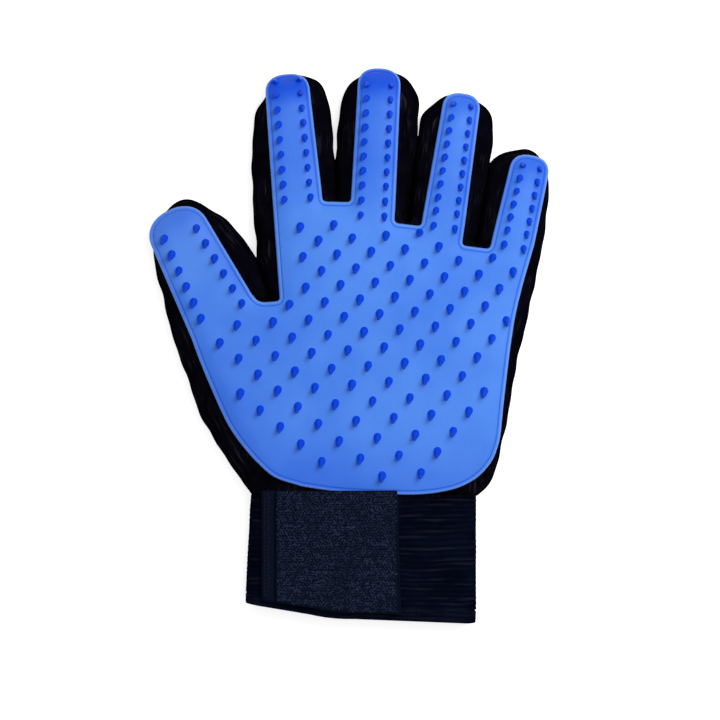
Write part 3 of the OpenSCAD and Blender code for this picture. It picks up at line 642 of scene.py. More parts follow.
# Node trees and finishes
class Nodes:
    """Helpers for any node tree."""

    def __init__(self, tree):
        self.tree = tree

    def feed(self, socket, value):
        """Links a socket, or sets its value."""
        if isinstance(value, bpy.types.NodeSocket):
            self.tree.links.new(value, socket)
        else:
            socket.default_value = value

    def node(self, kind, inputs=(), **settings):
        n = self.tree.nodes.new(kind)
        for key, value in settings.items():
            setattr(n, key, value)
        for key, value in dict(inputs).items():
            self.feed(n.inputs[key], value)
        return n

    def out(self, kind, inputs=(), **settings):
        return self.node(kind, inputs, **settings).outputs[0]

    def calc(self, operation, a, b=0.0):
        return self.out("ShaderNodeMath", {0: a, 1: b}, operation=operation)

    def vector(self, x=0.0, y=0.0, z=0.0):
        return self.out("ShaderNodeCombineXYZ", {"X": x, "Y": y, "Z": z})

    def seen(self):
        """1 for what the camera sees straight, in gloss or through glass, and 0 for light on the object."""
        rays = self.node("ShaderNodeLightPath").outputs
        total = self.calc("ADD", rays["Is Camera Ray"], rays["Is Glossy Ray"])
        return self.calc("MINIMUM", self.calc("ADD", total, rays["Is Transmission Ray"]), 1.0)


class Finish(Nodes):
    """A material with one principled shader and helpers for its patterns."""

    def __init__(self, name, rough, gloss):
        self.material = bpy.data.materials.new(name)
        self.material.use_nodes = True
        super().__init__(self.material.node_tree)
        self.shader = self.tree.nodes["Principled BSDF"]
        self.shader.inputs["Roughness"].default_value = rough
        self.shader.inputs["Specular IOR Level"].default_value = gloss
        self.place = self.node("ShaderNodeTexCoord").outputs["Object"]

    def attribute(self, name):
        return self.node("ShaderNodeAttribute", attribute_name=name).outputs["Fac"]

    def split(self, place):
        n = self.node("ShaderNodeSeparateXYZ", {0: place})
        return n.outputs[0], n.outputs[1]

    def weave(self):
        """Places across or around the cloth, and along it."""
        return self.split(self.out("ShaderNodeUVMap", uv_map="Weave"))

    def drawn(self, across, along, a, b):
        """Places in which a pattern is drawn out to long streaks."""
        return self.vector(self.calc("MULTIPLY", across, a), self.calc("MULTIPLY", along, b))

    def noise(self, size, detail=3.0, rough=0.5, place=None):
        """Noise of a size in millimetres."""
        place = self.place if place is None else place
        return self.out("ShaderNodeTexNoise",
                        {"Vector": place, "Scale": 1000.0 / size, "Detail": detail, "Roughness": rough})

    def wave(self, kind, place, pitch):
        return self.calc(kind, self.calc("MULTIPLY", place, 2 * math.pi / (pitch * MM)))

    def spread(self, value, low, high, to_low=0.0, to_high=1.0):
        ends = {"From Min": low, "From Max": high, "To Min": to_low, "To Max": to_high}
        return self.out("ShaderNodeMapRange", {"Value": value, **ends}, interpolation_type="SMOOTHSTEP")

    def clouds(self, value, to_low=0.0, to_high=1.0):
        return self.spread(value, 0.3, 0.7, to_low, to_high)

    def blend(self, share, a, b):
        return self.node("ShaderNodeMix", {0: share, 6: a, 7: b}, data_type="RGBA").outputs[2]

    def surface(self, colour, rough, height, depth, strength):
        """Colour, roughness and a bump of a depth in millimetres."""
        bump = self.out("ShaderNodeBump", {"Strength": strength, "Distance": depth * MM, "Height": height})
        for key, value in (("Base Color", colour), ("Roughness", rough), ("Normal", bump)):
            self.feed(self.shader.inputs[key], value)
        return self.material


def srgb(*colour):
    """A colour given as it shows on a screen, 0 to 255."""
    shares = [c / 255 for c in colour]
    return (*[s / 12.92 if s <= 10 / 255 else ((s + 0.055) / 1.055) ** 2.4 for s in shares], 1.0)


def rubber_finish():
    """Satin rubber with painted shade: deeper blue where the sheet turns down at the tips, along the sides of
    the strips, at the finger roots, towards the heel and in the rim's groove, and a painted highlight along
    the edge and on the thumb.
    """
    f = Finish("blue_rubber", 0.5, 0.15)
    base = f.blend(f.clouds(f.noise(30, 2)), srgb(68, 128, 232), srgb(80, 140, 238))
    # Painted shade: deeper blue on the curled tips, the sides of the strips, the finger roots and towards the
    # heel
    base = f.blend(f.attribute("painted_shade"), base, srgb(16, 77, 216))
    # Painted shade in the groove inside the rim, darkest where it lies lowest
    base = f.blend(f.spread(f.attribute("rim"), -0.08, -0.28, 0, 0.85), base, srgb(34, 82, 198))
    # Painted highlight along the edge of the rubber and on the thumb
    base = f.blend(f.calc("MULTIPLY", f.attribute("edge"), 0.75), base, srgb(122, 172, 248))
    speckle = f.noise(0.9, 4, 0.6)
    base = f.blend(f.spread(speckle, 0.35, 0.75, 0, 0.12), base, srgb(48, 104, 222))
    return f.surface(base, f.clouds(f.noise(6), 0.43, 0.58), speckle, 0.05, 0.5)


def nub_finish():
    """The same rubber on the nubs, deeper blue and more glossy: partly the thicker rubber, partly painted
    shade of their steep sides.
    """
    f = Finish("nub_rubber", 0.34, 0.1)
    # Painted shade: darker towards the tip of each nub
    base = f.blend(f.spread(f.attribute("rise"), 0.2, 0.95), srgb(2, 67, 216), srgb(2, 60, 200))
    base = f.blend(f.clouds(f.noise(2.2), 0, 0.4), base, srgb(4, 76, 224))
    return f.surface(base, f.clouds(f.noise(1.2, 2), 0.26, 0.4), f.noise(0.5, 2), 0.03, 0.4)


def knit_finish():
    """Fine jersey: wales along the piece, with a slanted loop in each course; raised loops painted a little
    paler and the furrows between wales darker as painted shade, and pale painted highlight streaks.
    """
    f = Finish("black_knit", 0.85, 0.0)
    across, along = f.weave()
    wale, course = f.calc("MULTIPLY", across, 1 / (0.95 * MM)), f.calc("MULTIPLY", along, 1 / (0.8 * MM))
    fold = f.calc("ABSOLUTE", f.calc("SUBTRACT", f.calc("FRACT", wale), 0.5))
    slant = f.calc("ADD", course, f.calc("MULTIPLY", fold, 1.4))
    loops = f.calc("SINE", f.calc("MULTIPLY", slant, 2 * math.pi))
    height = f.calc("ADD", f.calc("MULTIPLY", loops, 0.3), f.calc("MULTIPLY", fold, -1.6))
    fuzz = f.noise(7, 4)
    # Pale streaks along the cloth: painted highlight
    highlight_streak = f.spread(f.noise(1.1, 3, 0.6, f.drawn(across, along, 1.0, 0.09)), 0.5, 0.68)
    highlight_streak = f.calc("MULTIPLY", highlight_streak, f.spread(f.noise(13, 2), 0.42, 0.6))
    base = f.blend(f.spread(fuzz, 0.3, 0.75), srgb(3, 3, 8), srgb(10, 8, 18))
    # Painted shade of the knit's relief: paler on the raised loops, darker between the wales
    base = f.blend(f.spread(height, -0.6, 0.3, 0.0, 0.5), base, srgb(11, 10, 17))
    base = f.blend(f.calc("MULTIPLY", highlight_streak, 0.8), base, srgb(36, 33, 40))
    return f.surface(base, f.clouds(fuzz, 0.72, 0.92), height, 0.12, 0.6)


def mesh_finish():
    """Back cloth: a knit with rows of small holes, painted darker as the shade in them."""
    f = Finish("black_mesh", 0.8, 0.02)
    across, along = f.weave()
    holes = f.calc("MULTIPLY", f.wave("COSINE", across, 2.2), f.wave("COSINE", along, 2.6))
    holes = f.spread(holes, 0.35, 0.75)
    base = f.blend(f.clouds(f.noise(5, 4)), srgb(7, 7, 12), srgb(15, 15, 21))
    # The holes are painted darker: painted shade in them
    base = f.blend(holes, base, srgb(3, 3, 5))
    height = f.calc("SUBTRACT", f.noise(0.6, 2), f.calc("MULTIPLY", holes, 1.6))
    return f.surface(base, f.clouds(f.noise(1.5), 0.7, 0.9), height, 0.2, 0.7)


def elastic_finish():
    """Ribbed elastic: fine upright threads over the ribs of the mesh, painted shade between the ribs and pale
    painted highlights along a few rib tops.
    """
    f = Finish("black_elastic", 0.7, 0.0)
    across, along = f.weave()
    cloud = f.noise(11)
    base = f.blend(f.clouds(cloud), srgb(4, 9, 23), srgb(10, 16, 33))
    rib = f.attribute("rib")
    # Painted shade: darker between the ribs
    base = f.blend(f.spread(rib, 0.1, 0.9, 0.0, 0.85), f.blend(0.45, base, srgb(2, 3, 12)), base)
    # Pale streaks on a few rib tops: painted highlight
    rib_highlight = f.spread(f.noise(2.6, 2, 0.6, f.drawn(across, along, 0.12, 1.0)), 0.46, 0.7, 0.0, 0.75)
    rib_highlight = f.calc("MULTIPLY", rib_highlight, f.spread(rib, 0.2, 0.8))
    threads = f.calc("MULTIPLY", f.wave("SINE", across, 0.75), 0.5)
    height = f.calc("ADD", threads, f.noise(0.7, 2))
    return f.surface(f.blend(rib_highlight, base, srgb(30, 29, 41)), f.clouds(cloud, 0.5, 0.72), height, 0.06, 0.7)


def pile_finish(name, dark, light):
    """Loop pile with darker patches."""
    f = Finish(name, 0.75, 0.02)
    tuft = f.noise(2.4, 4, 0.6)
    base = f.blend(f.clouds(tuft), dark, light)
    base = f.blend(f.spread(f.noise(14, 2), 0.35, 0.7, 0.0, 0.45), base, dark)
    return f.surface(base, f.clouds(tuft, 0.6, 0.85), f.noise(0.35, 2), 0.06, 0.6)


def tape_finish():
    """Woven ground of the strap and of the closure."""
    f = Finish("navy_tape", 0.8, 0.015)
    x, y = f.split(f.place)
    weave = f.calc("MULTIPLY", f.wave("SINE", x, 0.8), f.wave("SINE", y, 0.8))
    base = f.blend(f.spread(weave, -0.5, 0.6), srgb(6, 11, 24), srgb(16, 23, 42))
    base = f.blend(f.clouds(f.noise(6), 0, 0.4), base, srgb(8, 12, 26))
    return f.surface(base, f.spread(weave, -1, 1, 0.66, 0.85), weave, 0.08, 0.7)


def thread_finish(name, dark, light):
    f = Finish(name, 0.6, 0.02)
    twist = f.noise(0.5, 2)
    return f.surface(f.blend(f.clouds(twist), dark, light), f.clouds(twist, 0.45, 0.65), twist, 0.05, 0.6)


def hook_finish():
    f = Finish("hook_plastic", 0.4, 0.4)
    base = f.blend(f.clouds(f.noise(2, 2)), srgb(16, 18, 24), srgb(34, 37, 46))
    return f.surface(base, f.clouds(f.noise(0.8, 2), 0.3, 0.5), f.noise(0.4, 2), 0.02, 0.4)


RUBBER_BLUE = rubber_finish()
NUB_BLUE = nub_finish()
KNIT = knit_finish()
BACK_MESH = mesh_finish()
ELASTIC = elastic_finish()
STRAP_PILE = pile_finish("strap_pile", srgb(17, 24, 42), srgb(46, 56, 82))
LOOP_PILE = pile_finish("loop_pile", srgb(8, 13, 26), srgb(32, 41, 66))
TAPE = tape_finish()
HOOKS = hook_finish()
THREAD = thread_finish("black_thread", srgb(3, 4, 9), srgb(9, 11, 18))
STRAP_THREAD = thread_finish("strap_thread", srgb(16, 22, 38), srgb(32, 38, 58))


# Geometry node trees
class Tree(Nodes):
    """A geometry node tree with named inputs for its sizes."""

    def __init__(self, name, sizes):
        super().__init__(bpy.data.node_groups.new(name, "GeometryNodeTree"))
        face = self.tree.interface
        face.new_socket("Geometry", in_out="INPUT", socket_type="NodeSocketGeometry")
        self.ids = {}
        for label, kind in sizes.items():
            socket = face.new_socket(label, in_out="INPUT", socket_type="NodeSocket" + kind)
            self.ids[label] = socket.identifier
        face.new_socket("Geometry", in_out="OUTPUT", socket_type="NodeSocketGeometry")
        self.given = self.node("NodeGroupInput").outputs
        self.result = self.node("NodeGroupOutput").inputs[0]

    def move(self, a, b):
        return self.out("ShaderNodeVectorMath", {0: a, 1: b}, operation="ADD")

    def scale(self, a, share):
        return self.out("ShaderNodeVectorMath", {0: a, "Scale": share}, operation="SCALE")

    def attribute(self, name, kind):
        return self.out("GeometryNodeInputNamedAttribute", {"Name": name}, data_type=kind)

    def chance(self, low, high, seed):
        n = self.node("FunctionNodeRandomValue", {2: low, 3: high, "Seed": seed}, data_type="FLOAT")
        return n.outputs[1]

    def circle(self, resolution, radius):
        return self.out("GeometryNodeCurvePrimitiveCircle", {"Resolution": resolution, "Radius": radius})

    def on_points(self, shape, turn, size):
        spots = self.out("GeometryNodeMeshToPoints", {"Mesh": self.given["Geometry"]})
        return self.out("GeometryNodeInstanceOnPoints",
                        {"Points": spots, "Instance": shape, "Rotation": turn, "Scale": size})

    def finish(self, geometry, material):
        real = self.out("GeometryNodeRealizeInstances", {"Geometry": geometry})
        soft = self.out("GeometryNodeSetShadeSmooth", {"Geometry": real})
        dressed = self.out("GeometryNodeSetMaterial", {"Geometry": soft, "Material": material})
        self.tree.links.new(dressed, self.result)
        return self

    def run(self, name, points, edges, values, attributes=()):
        """A plain mesh made by the tree from points and edges."""
        mesh = bpy.data.meshes.new(name)
        mesh.from_pydata([tuple(p) for p in np.asarray(points, float) * MM], edges, [])
        for label, kind, data in attributes:
            key = "vector" if kind == "FLOAT_VECTOR" else "value"
            layer = mesh.attributes.new(label, kind, "POINT")
            layer.data.foreach_set(key, np.asarray(data, np.float32).ravel())
        piece = bpy.data.objects.new(name, mesh)
        bpy.context.scene.collection.objects.link(piece)
        modifier = piece.modifiers.new("repeat", "NODES")
        modifier.node_group = self.tree
        for label, value in values.items():
            modifier[self.ids[label]] = value
        return plain_mesh(piece)


def nub_tree():
    """A leaning rounded cone on every point, upright on the rubber there."""
    t = Tree("rubber_nubs", {"Height": "Float", "Foot radius": "Float", "Lean": "Vector",
                             "Rubber": "Material"})
    g = t.given
    tip = t.move(t.vector(z=g["Height"]), g["Lean"])
    knee = t.move(t.scale(tip, 0.42), t.vector(z=t.calc("MULTIPLY", g["Height"], 0.1)))
    stem = t.out("GeometryNodeCurveQuadraticBezier",
                 {"Resolution": 9, "Start": t.scale(tip, -0.22), "Middle": knee, "End": tip})
    factor = t.out("GeometryNodeSplineParameter")
    stem = t.out("GeometryNodeStoreNamedAttribute", {"Geometry": stem, "Name": "rise", "Value": factor},
                 data_type="FLOAT", domain="POINT")
    shape = t.node("ShaderNodeFloatCurve", {"Value": factor})
    line = shape.mapping.curves[0]
    line.points[0].location, line.points[1].location = (0, 1.0), (1, 0.1)
    for x, y in ((0.2, 0.96), (0.4, 0.78), (0.65, 0.56), (0.85, 0.41), (0.94, 0.32)):
        line.points.new(x, y)
    shape.mapping.update()
    wide = t.calc("MULTIPLY", shape.outputs[0], g["Foot radius"])
    cone = t.out("GeometryNodeCurveToMesh",
                 {"Curve": stem, "Profile Curve": t.circle(11, 1.0), "Scale": wide, "Fill Caps": True})
    facing = t.attribute("facing", "FLOAT_VECTOR")
    turn = t.out("FunctionNodeAlignRotationToVector", {"Vector": facing}, axis="Z")
    size = t.calc("MULTIPLY", t.chance(0.95, 1.05, 4), t.attribute("size", "FLOAT"))
    return t.finish(t.on_points(cone, turn, size), g["Rubber"])


def stitch_tree():
    """A short thread at equal steps along every line."""
    t = Tree("stitches", {"Step": "Float", "Length": "Float", "Thread radius": "Float", "Thread": "Material"})
    g = t.given
    lines = t.out("GeometryNodeMeshToCurve", {"Mesh": g["Geometry"]})
    spots = t.node("GeometryNodeCurveToPoints", {"Curve": lines, "Length": g["Step"]}, mode="LENGTH").outputs
    ball = t.out("GeometryNodeMeshUVSphere", {"Segments": 6, "Rings": 5, "Radius": 1.0})
    shape = t.vector(g["Thread radius"], g["Thread radius"], t.calc("MULTIPLY", g["Length"], 0.5))
    thread = t.out("GeometryNodeTransform", {"Geometry": ball, "Scale": shape})
    many = t.out("GeometryNodeInstanceOnPoints",
                 {"Points": spots["Points"], "Instance": thread, "Rotation": spots["Rotation"]})
    return t.finish(many, g["Thread"])


def roll_tree():
    """A round seam roll along every line."""
    t = Tree("seam_roll", {"Radius": "Float", "Step": "Float", "Cloth": "Material"})
    g = t.given
    lines = t.out("GeometryNodeMeshToCurve", {"Mesh": g["Geometry"]})
    lines = t.out("GeometryNodeResampleCurve", {"Curve": lines, "Length": g["Step"]}, mode="LENGTH")
    seam = t.out("GeometryNodeCurveToMesh",
                 {"Curve": lines, "Profile Curve": t.circle(7, g["Radius"]), "Fill Caps": True})
    return t.finish(seam, g["Cloth"])


def loop_tree():
    """A bent thread on every point: part of a ring that stands on the tape."""
    t = Tree("pile_loops", {"Radius": "Float", "Thread radius": "Float", "Sweep": "Float", "Seed": "Int",
                            "Pile": "Material"})
    g = t.given
    arc = t.out("GeometryNodeCurveArc", {"Resolution": 7, "Radius": g["Radius"], "Start Angle": -0.35,
                                         "Sweep Angle": g["Sweep"]})
    loop = t.out("GeometryNodeCurveToMesh",
                 {"Curve": arc, "Profile Curve": t.circle(4, g["Thread radius"]), "Fill Caps": False})
    loop = t.out("GeometryNodeTransform", {"Geometry": loop, "Rotation": (math.pi / 2, 0, 0)})
    loop = t.out("GeometryNodeTransform", {"Geometry": loop, "Scale": (1, 1, 0.62)})
    sway = t.chance(-0.7, 0.7, g["Seed"])
    tilt = t.chance(-0.5, 0.5, t.calc("ADD", g["Seed"], 7.0))
    size = t.chance(0.75, 1.2, t.calc("ADD", g["Seed"], 3.0))
    angle = t.vector(x=tilt, z=t.calc("ADD", t.attribute("turn", "FLOAT"), sway))
    return t.finish(t.on_points(loop, angle, size), g["Pile"])


NUBS = nub_tree()
STITCHES = stitch_tree()
ROLLS = roll_tree()
LOOPS = loop_tree()


def chained(lines):
    """Points and edges of separate lines."""
    edges, base = [], 0
    for line in lines:
        edges += run_of(base, len(line))
        base += len(line)
    return np.vstack(lines), edges


def sew(name, lines, step, length, radius, thread=THREAD):
    return STITCHES.run(name, *chained(lines), {"Step": step * MM, "Length": length * MM,
                                                "Thread radius": radius * MM, "Thread": thread})


def roll(name, lines, radius, finish):
    piece = ROLLS.run(name, *chained(lines), {"Radius": radius * MM, "Step": ROLL_STEP * MM, "Cloth": finish})
    weave_map(piece, point_places(piece)[:, :2] / MM)
    return piece


def pile(name, points, turns, kind, finish):
    sizes = {"Radius": kind.radius * MM, "Thread radius": kind.thread * MM, "Sweep": kind.sweep,
             "Seed": kind.seed, "Pile": finish}
    return LOOPS.run(name, points, [], sizes, [("turn", "FLOAT", turns)])


# The cloth glove
SIDE_TURNS = 1 - np.cos(np.radians(np.arange(9, 90, 9)))  # rows of points round the sides
SIDE_MOST = 9.0  # widest side that still lies flat in the weave
BACK_ROUND = 3.2  # least width over which the back turns up to the outline
BACK_LIFT = 0.9  # the back lifts so much from the table at its side seams
BACK_LIFT_W = 11.0
TABLE_GAP = 0.05
FOLD_H = 0.2  # soft folds in the side cloth
FOLD_COUNT = 7.0
FOLD_SLANT = 0.035
FOLD_SIDE = 5.0  # sides narrower than this have smaller folds
PRESS = 0.28  # how far neighbouring digits press into each other
THUMB_SIDE_RIGHT = -50.0  # the thumb-side panel ends here, from the middle of the wrist seam
THUMB_SIDE_LOW = 30.0  # below this it runs on to the wrist


def cloth_mesh():
    """Flat mesh of the cloth, with closer points round its sides."""
    outline = np.vstack([CLOTH_LINE, spaced(CORE_LINE[[-1, 0]], WRIST_STEP)])
    creases = [crease_line(d, outline, CREASE_STEP) for d in DIGITS]
    rings = []
    for edge, core in zip(CLOTH_EDGE, CORE):
        foot = nearest(edge, core)[1]
        rings += [edge + t * (foot - edge) for t in SIDE_TURNS]
    rings = np.vstack(rings)
    rings = rings[inside(rings, outline) & ~inside(rings, CORE_LINE)]
    rings = rings[(gap_from(rings, CLOTH_LINE) > 0.05) & (gap_from(rings, CORE_LINE) > 0.12)]
    grid = hex_grid(outline.min(0), outline.max(0), CLOTH_GRID)
    grid = grid[inside(grid, CORE_LINE)]
    grid = grid[(gap_from(grid, CORE_LINE) > 0.9) & (grid[:, 1] > outline[:, 1].min() + 0.8)]
    fill = thin_out(np.vstack([rings, grid]), CLOTH_LEAST, np.vstack([outline, CORE_LINE, *creases]))
    return flat_mesh([(outline, True), (CORE_LINE, False)], creases, fill, outline)


def cut_panels(places, weave, tri, tri_low, digit):
    """Palm, back and sides of every digit and of the hand, and the webs in the crotches."""
    middle_of = places[tri][:, :, :2].mean(1)
    core = inside(middle_of, CORE_LINE)
    layers = {"palm": [tri], "back": [tri_low], "side": [tri, tri_low]}

    def panel(name, body, mask, node, kind="side"):
        finish, slot = (BACK_MESH, "back_mesh") if kind == "back" else (KNIT, "knit_cloth")
        points, faces, uv = used_only(places, np.vstack([layer[mask] for layer in layers[kind]]), weave)
        piece = make_piece(name, points, faces, finish)
        weave_map(piece, uv)
        thicken(piece, CLOTH)
        fit_to_body(piece, body, [node])

    for k, d in enumerate(DIGITS):
        mine, right = digit == k, d.local(middle_of)[1] >= 0
        panel(d.name + "_palm_cloth", d.body, mine & core, d.name + "_front", "palm")
        panel(d.name + "_back_cloth", d.body, mine & core, d.name + "_back", "back")
        panel(d.name + "_left_side", d.body, mine & ~core & ~right, d.name + "_left_gusset")
        panel(d.name + "_right_side", d.body, mine & ~core & right, d.name + "_right_gusset")
    hand = digit == -1
    panel("palm_cloth", "hand", hand & core, "palm_lining", "palm")
    panel("back_cloth", "hand", hand & core, "back_panel", "back")
    sides = hand & ~core
    chain = np.stack([gap_from(middle_of, c) for c in CORE]).argmin(0)
    x, y = (middle_of - SEAM_MIDDLE).T
    left = sides & (chain == 0) & (x < THUMB_SIDE_RIGHT) & (thumb.local(middle_of)[1] < 0)
    left |= sides & (y < THUMB_SIDE_LOW) & (x < 0)
    right = sides & (chain == 4) & (little.local(middle_of)[1] > 0)
    panel("thumb_side_cloth", "hand", left, "thumb_side_gusset")
    panel("little_side_cloth", "hand", right, "little_side_gusset")
    valleys = from_wrist([c.valley for c in CROTCHES])
    closest = np.stack([((middle_of - v) ** 2).sum(1) for v in valleys]).argmin(0)
    closest[(closest == 1) & (index.local(middle_of)[1] < 0)] = 0
    for k in range(4):
        web = DIGITS[k].name + "_" + DIGITS[k + 1].name + "_web"
        panel(web + "_cloth", "hand", sides & ~left & ~right & (closest == k), web)


def build_cloth():
    """Shapes the cloth and cuts it into panels. Returns its surface, for the stitches of the back."""
    place, tri, digit = cloth_mesh()
    count = len(place)
    owner = digit_of_points(count, tri, digit)
    edge_gap, core_gap = gap_from(place, CLOTH_LINE), gap_from(place, CORE_LINE)
    rim = edge_gap < 2 * SAME
    in_core = inside(place, CORE_LINE) | (core_gap < SAME)
    # Outside the side seams the cloth turns from the palm round to the back
    wide = np.where(in_core, edge_gap, edge_gap + core_gap)
    share = np.where(in_core, 1.0, edge_gap / np.maximum(wide, 1e-9))
    share[rim] = 0
    rise = np.sqrt(np.maximum(0, 1 - (1 - share) ** 2))
    turn = np.arccos(np.clip(1 - share, -1, 1))
    under = np.clip(edge_gap / np.maximum(np.where(in_core, 0, wide), BACK_ROUND), 0, 1)
    drop = np.sqrt(np.maximum(0, 1 - (1 - under) ** 2))
    folds = np.sin(turn * FOLD_COUNT + place[:, 1] * FOLD_SLANT) * np.sin(2 * turn) * FOLD_H
    folds = np.where(in_core, 0, folds) * np.clip(wide / FOLD_SIDE, 0, 1)
    high = palm_height(place, owner)
    belt = BELT * high
    top = belt + (high - belt) * rise + folds
    lift = BACK_LIFT * (1 - np.minimum(1, np.where(in_core, core_gap, 0) / BACK_LIFT_W)) ** 2
    low_side = belt * (1 - drop) + lift * drop + TABLE_GAP
    low_side[rim] = top[rim]
    # Neighbouring digits press against each other in the valleys
    for crotch in CROTCHES:
        peak, valley = from_wrist(crotch.top), from_wrist(crotch.valley)
        long = np.linalg.norm(peak - valley)
        line = (peak - valley) / long
        across = np.array([line[1], -line[0]])
        far, beside = (place - valley) @ line, (place - valley) @ across
        press = rim & (far > 0.5) & (far < long + 0.6) & (np.abs(beside) < 0.4)
        shift = np.where(press, -np.sign(beside) * PRESS * np.clip(far / 4, 0, 1), 0)
        place = place + shift[:, None] * across

    # Places on the cloth for its weave: across or around, and along
    along, across = place[:, 1].copy(), place[:, 0].copy()
    for k, d in enumerate(DIGITS):
        mine = owner == k
        along[mine], across[mine] = d.local(place[mine])
    around = turn * np.sqrt((np.minimum(wide, SIDE_MOST) ** 2 + belt ** 2) / 2)
    weave = np.vstack([np.c_[np.where(in_core, across, way * around), along] for way in (1, -1)])
    places = np.vstack([np.c_[place, top], np.c_[place, low_side]])
    twin = np.where(rim, np.arange(count), np.arange(count) + count)
    tri_low = twin[tri][:, ::-1]
    cut_panels(places, weave, tri, tri_low, digit)
    return BVHTree.FromPolygons([tuple(p) for p in places], np.vstack([tri, tri_low]).tolist())


CLOTH_SURFACE = build_cloth()


# The rubber: painted shade, given as shares of the deeper blue
HEEL_SHADE = 0.5
HEEL_SHADE_W = 38.0  # from the edge of the rubber
HEEL_WAY = (-0.45, 0.85)  # it deepens to the left and to the wrist
HEEL_LEVEL = 62.0  # from this level down
HEEL_LENGTH = 50.0
ROOT_LENGTH = 12.0  # painted shade of a finger that runs on into the palm
ROOT_W = 17.0
TIP_SHADE = 0.97  # tips with a long curl
SHORT_TIP_SHADE = 0.5
SIDE_SHADE = 0.42  # sides of the strips
THUMB_PAINTED_LIGHT = 0.24  # painted light: the thumb is turned to the light
THUMB_PALE_START = 14.0


def rubber_painted_light(place, owner, gap):
    """Painted shade on the curled tips, along the sides of the strips, at the finger roots and towards the
    heel, and a painted highlight along the edge and on the thumb.
    """
    x, y = (place - SEAM_MIDDLE).T
    heel = np.clip((HEEL_WAY[0] * x + HEEL_WAY[1] * (HEEL_LEVEL - y)) / HEEL_LENGTH, 0, 1)
    painted_shade = HEEL_SHADE * np.clip(1 - gap / HEEL_SHADE_W, 0, 1) ** 1.3 * heel
    for k, d in enumerate(DIGITS):
        u, v = d.local(place)
        root = d.deep * ramp(u, -ROOT_LENGTH, 2 * ROOT_LENGTH) * np.clip((ROOT_W - np.abs(v)) / 6, 0, 1)
        painted_shade = np.where((owner == -1) & (u > -ROOT_LENGTH), np.maximum(painted_shade, root), painted_shade)
        mine = owner == k
        u, root = u[mine], root[mine]
        ease = ramp(u, d.length - d.curl - 8, d.curl + 3)
        tip = ease * ease * (3 - 2 * ease) * (TIP_SHADE if d.curl > 10 else SHORT_TIP_SHADE)
        side = np.clip(1 - (gap[mine] - 1.8) / 5.5, 0, 1) ** 1.5 * ramp(u, 0, ROOT_LENGTH) * SIDE_SHADE
        painted_shade[mine] = np.maximum.reduce([tip, side, root, painted_shade[mine] * np.clip(1 - u / 20, 0, 1)])
    # Painted highlight: a pale line along the edge of the rubber, and painted light on the thumb towards its
    # tip
    edge = np.clip(1.25 - gap / 0.8, 0, 1)
    paler = THUMB_PAINTED_LIGHT * ramp(thumb.local(place)[0], THUMB_PALE_START, 15)
    return painted_shade, np.where(owner == 0, np.maximum(edge, paler), edge)


def rubber_mesh():
    """Flat mesh of the rubber, with rows of points for the rim and its groove."""
    d = np.roll(PAD_LOOP, -1, axis=0) - np.roll(PAD_LOOP, 1, axis=0)
    inward = unit(np.c_[d[:, 1], -d[:, 0]])
    rows = []
    for far in RIM[1:, 0]:
        row = PAD_LOOP + far * inward
        rows.append(row[(gap_from(row, PAD_LINE) > 0.985 * far) & inside(row, PAD_LOOP)])
    grid = hex_grid(PAD_LOOP.min(0), PAD_LOOP.max(0), PAD_GRID)
    grid = grid[inside(grid, PAD_LOOP)]
    grid = grid[gap_from(grid, PAD_LINE) > RIM[-1, 0] + 0.6]
    creases = [crease_line(d, PAD_LOOP, STRIP_STEP) for d in DIGITS]
    fill = thin_out(np.vstack([*rows, grid]), PAD_LEAST, np.vstack([PAD_LOOP, *creases]))
    return flat_mesh([(PAD_LOOP, True)], creases, fill, PAD_LOOP)


def name_and_body(k):
    return ("palm", "hand") if k < 0 else (DIGITS[k].name, DIGITS[k].body)


def build_rubber():
    place, tri, digit = rubber_mesh()
    count = len(place)
    owner = digit_of_points(count, tri, digit)
    gap = gap_from(place, PAD_LINE)
    rim = np.interp(gap, RIM[:, 0], RIM[:, 1])
    painted_shade, edge = rubber_painted_light(place, owner, gap)
    floor = palm_height(place, owner)
    places = np.vstack([np.c_[place, floor + RUBBER + rim], np.c_[place, floor + RUBBER_LIFT]])
    zero = np.zeros(count)
    # These marks carry painted light for the finish: shade on the tips, strip sides, finger roots, heel and
    # groove, and a highlight along the edge and on the thumb
    marks = {"rim": np.r_[rim, zero], "painted_shade": np.r_[painted_shade, painted_shade], "edge": np.r_[edge, zero]}

    # The shading runs on across the creases, because the pad is one moulding
    outer = border_of(tri)
    outer_keys = {side_key(*side) for side in outer}
    normal = np.zeros((2 * count, 3))
    for faces in (tri, wall_of(outer, count)):
        facing = facing_of(places, faces)
        for k in range(3):
            np.add.at(normal, faces[:, k], facing)
    normal = unit(normal)

    for k in range(-1, 5):
        name, body = name_and_body(k)
        mine = tri[digit == k]
        border = border_of(mine)
        faces = np.vstack([mine, wall_of(border, count), mine[:, ::-1] + count])
        points, faces, normals, *values = used_only(places, faces, normal, *marks.values())
        piece = make_piece(name + "_rubber", points, faces, RUBBER_BLUE)
        shown = np.repeat([side_key(*side) in outer_keys for side in border], 2)
        hidden = np.r_[np.zeros(len(mine), bool), ~shown, np.ones(len(mine), bool)]
        corner = normals[faces]
        corner[hidden] = unit(facing_of(points, faces))[hidden][:, None, :]
        piece.data.normals_split_custom_set([tuple(n) for n in corner.reshape(-1, 3)])
        for label, value in zip(marks, values):
            mark(piece, label, value)
        fit_to_body(piece, body, [name + "_pad"])


build_rubber()


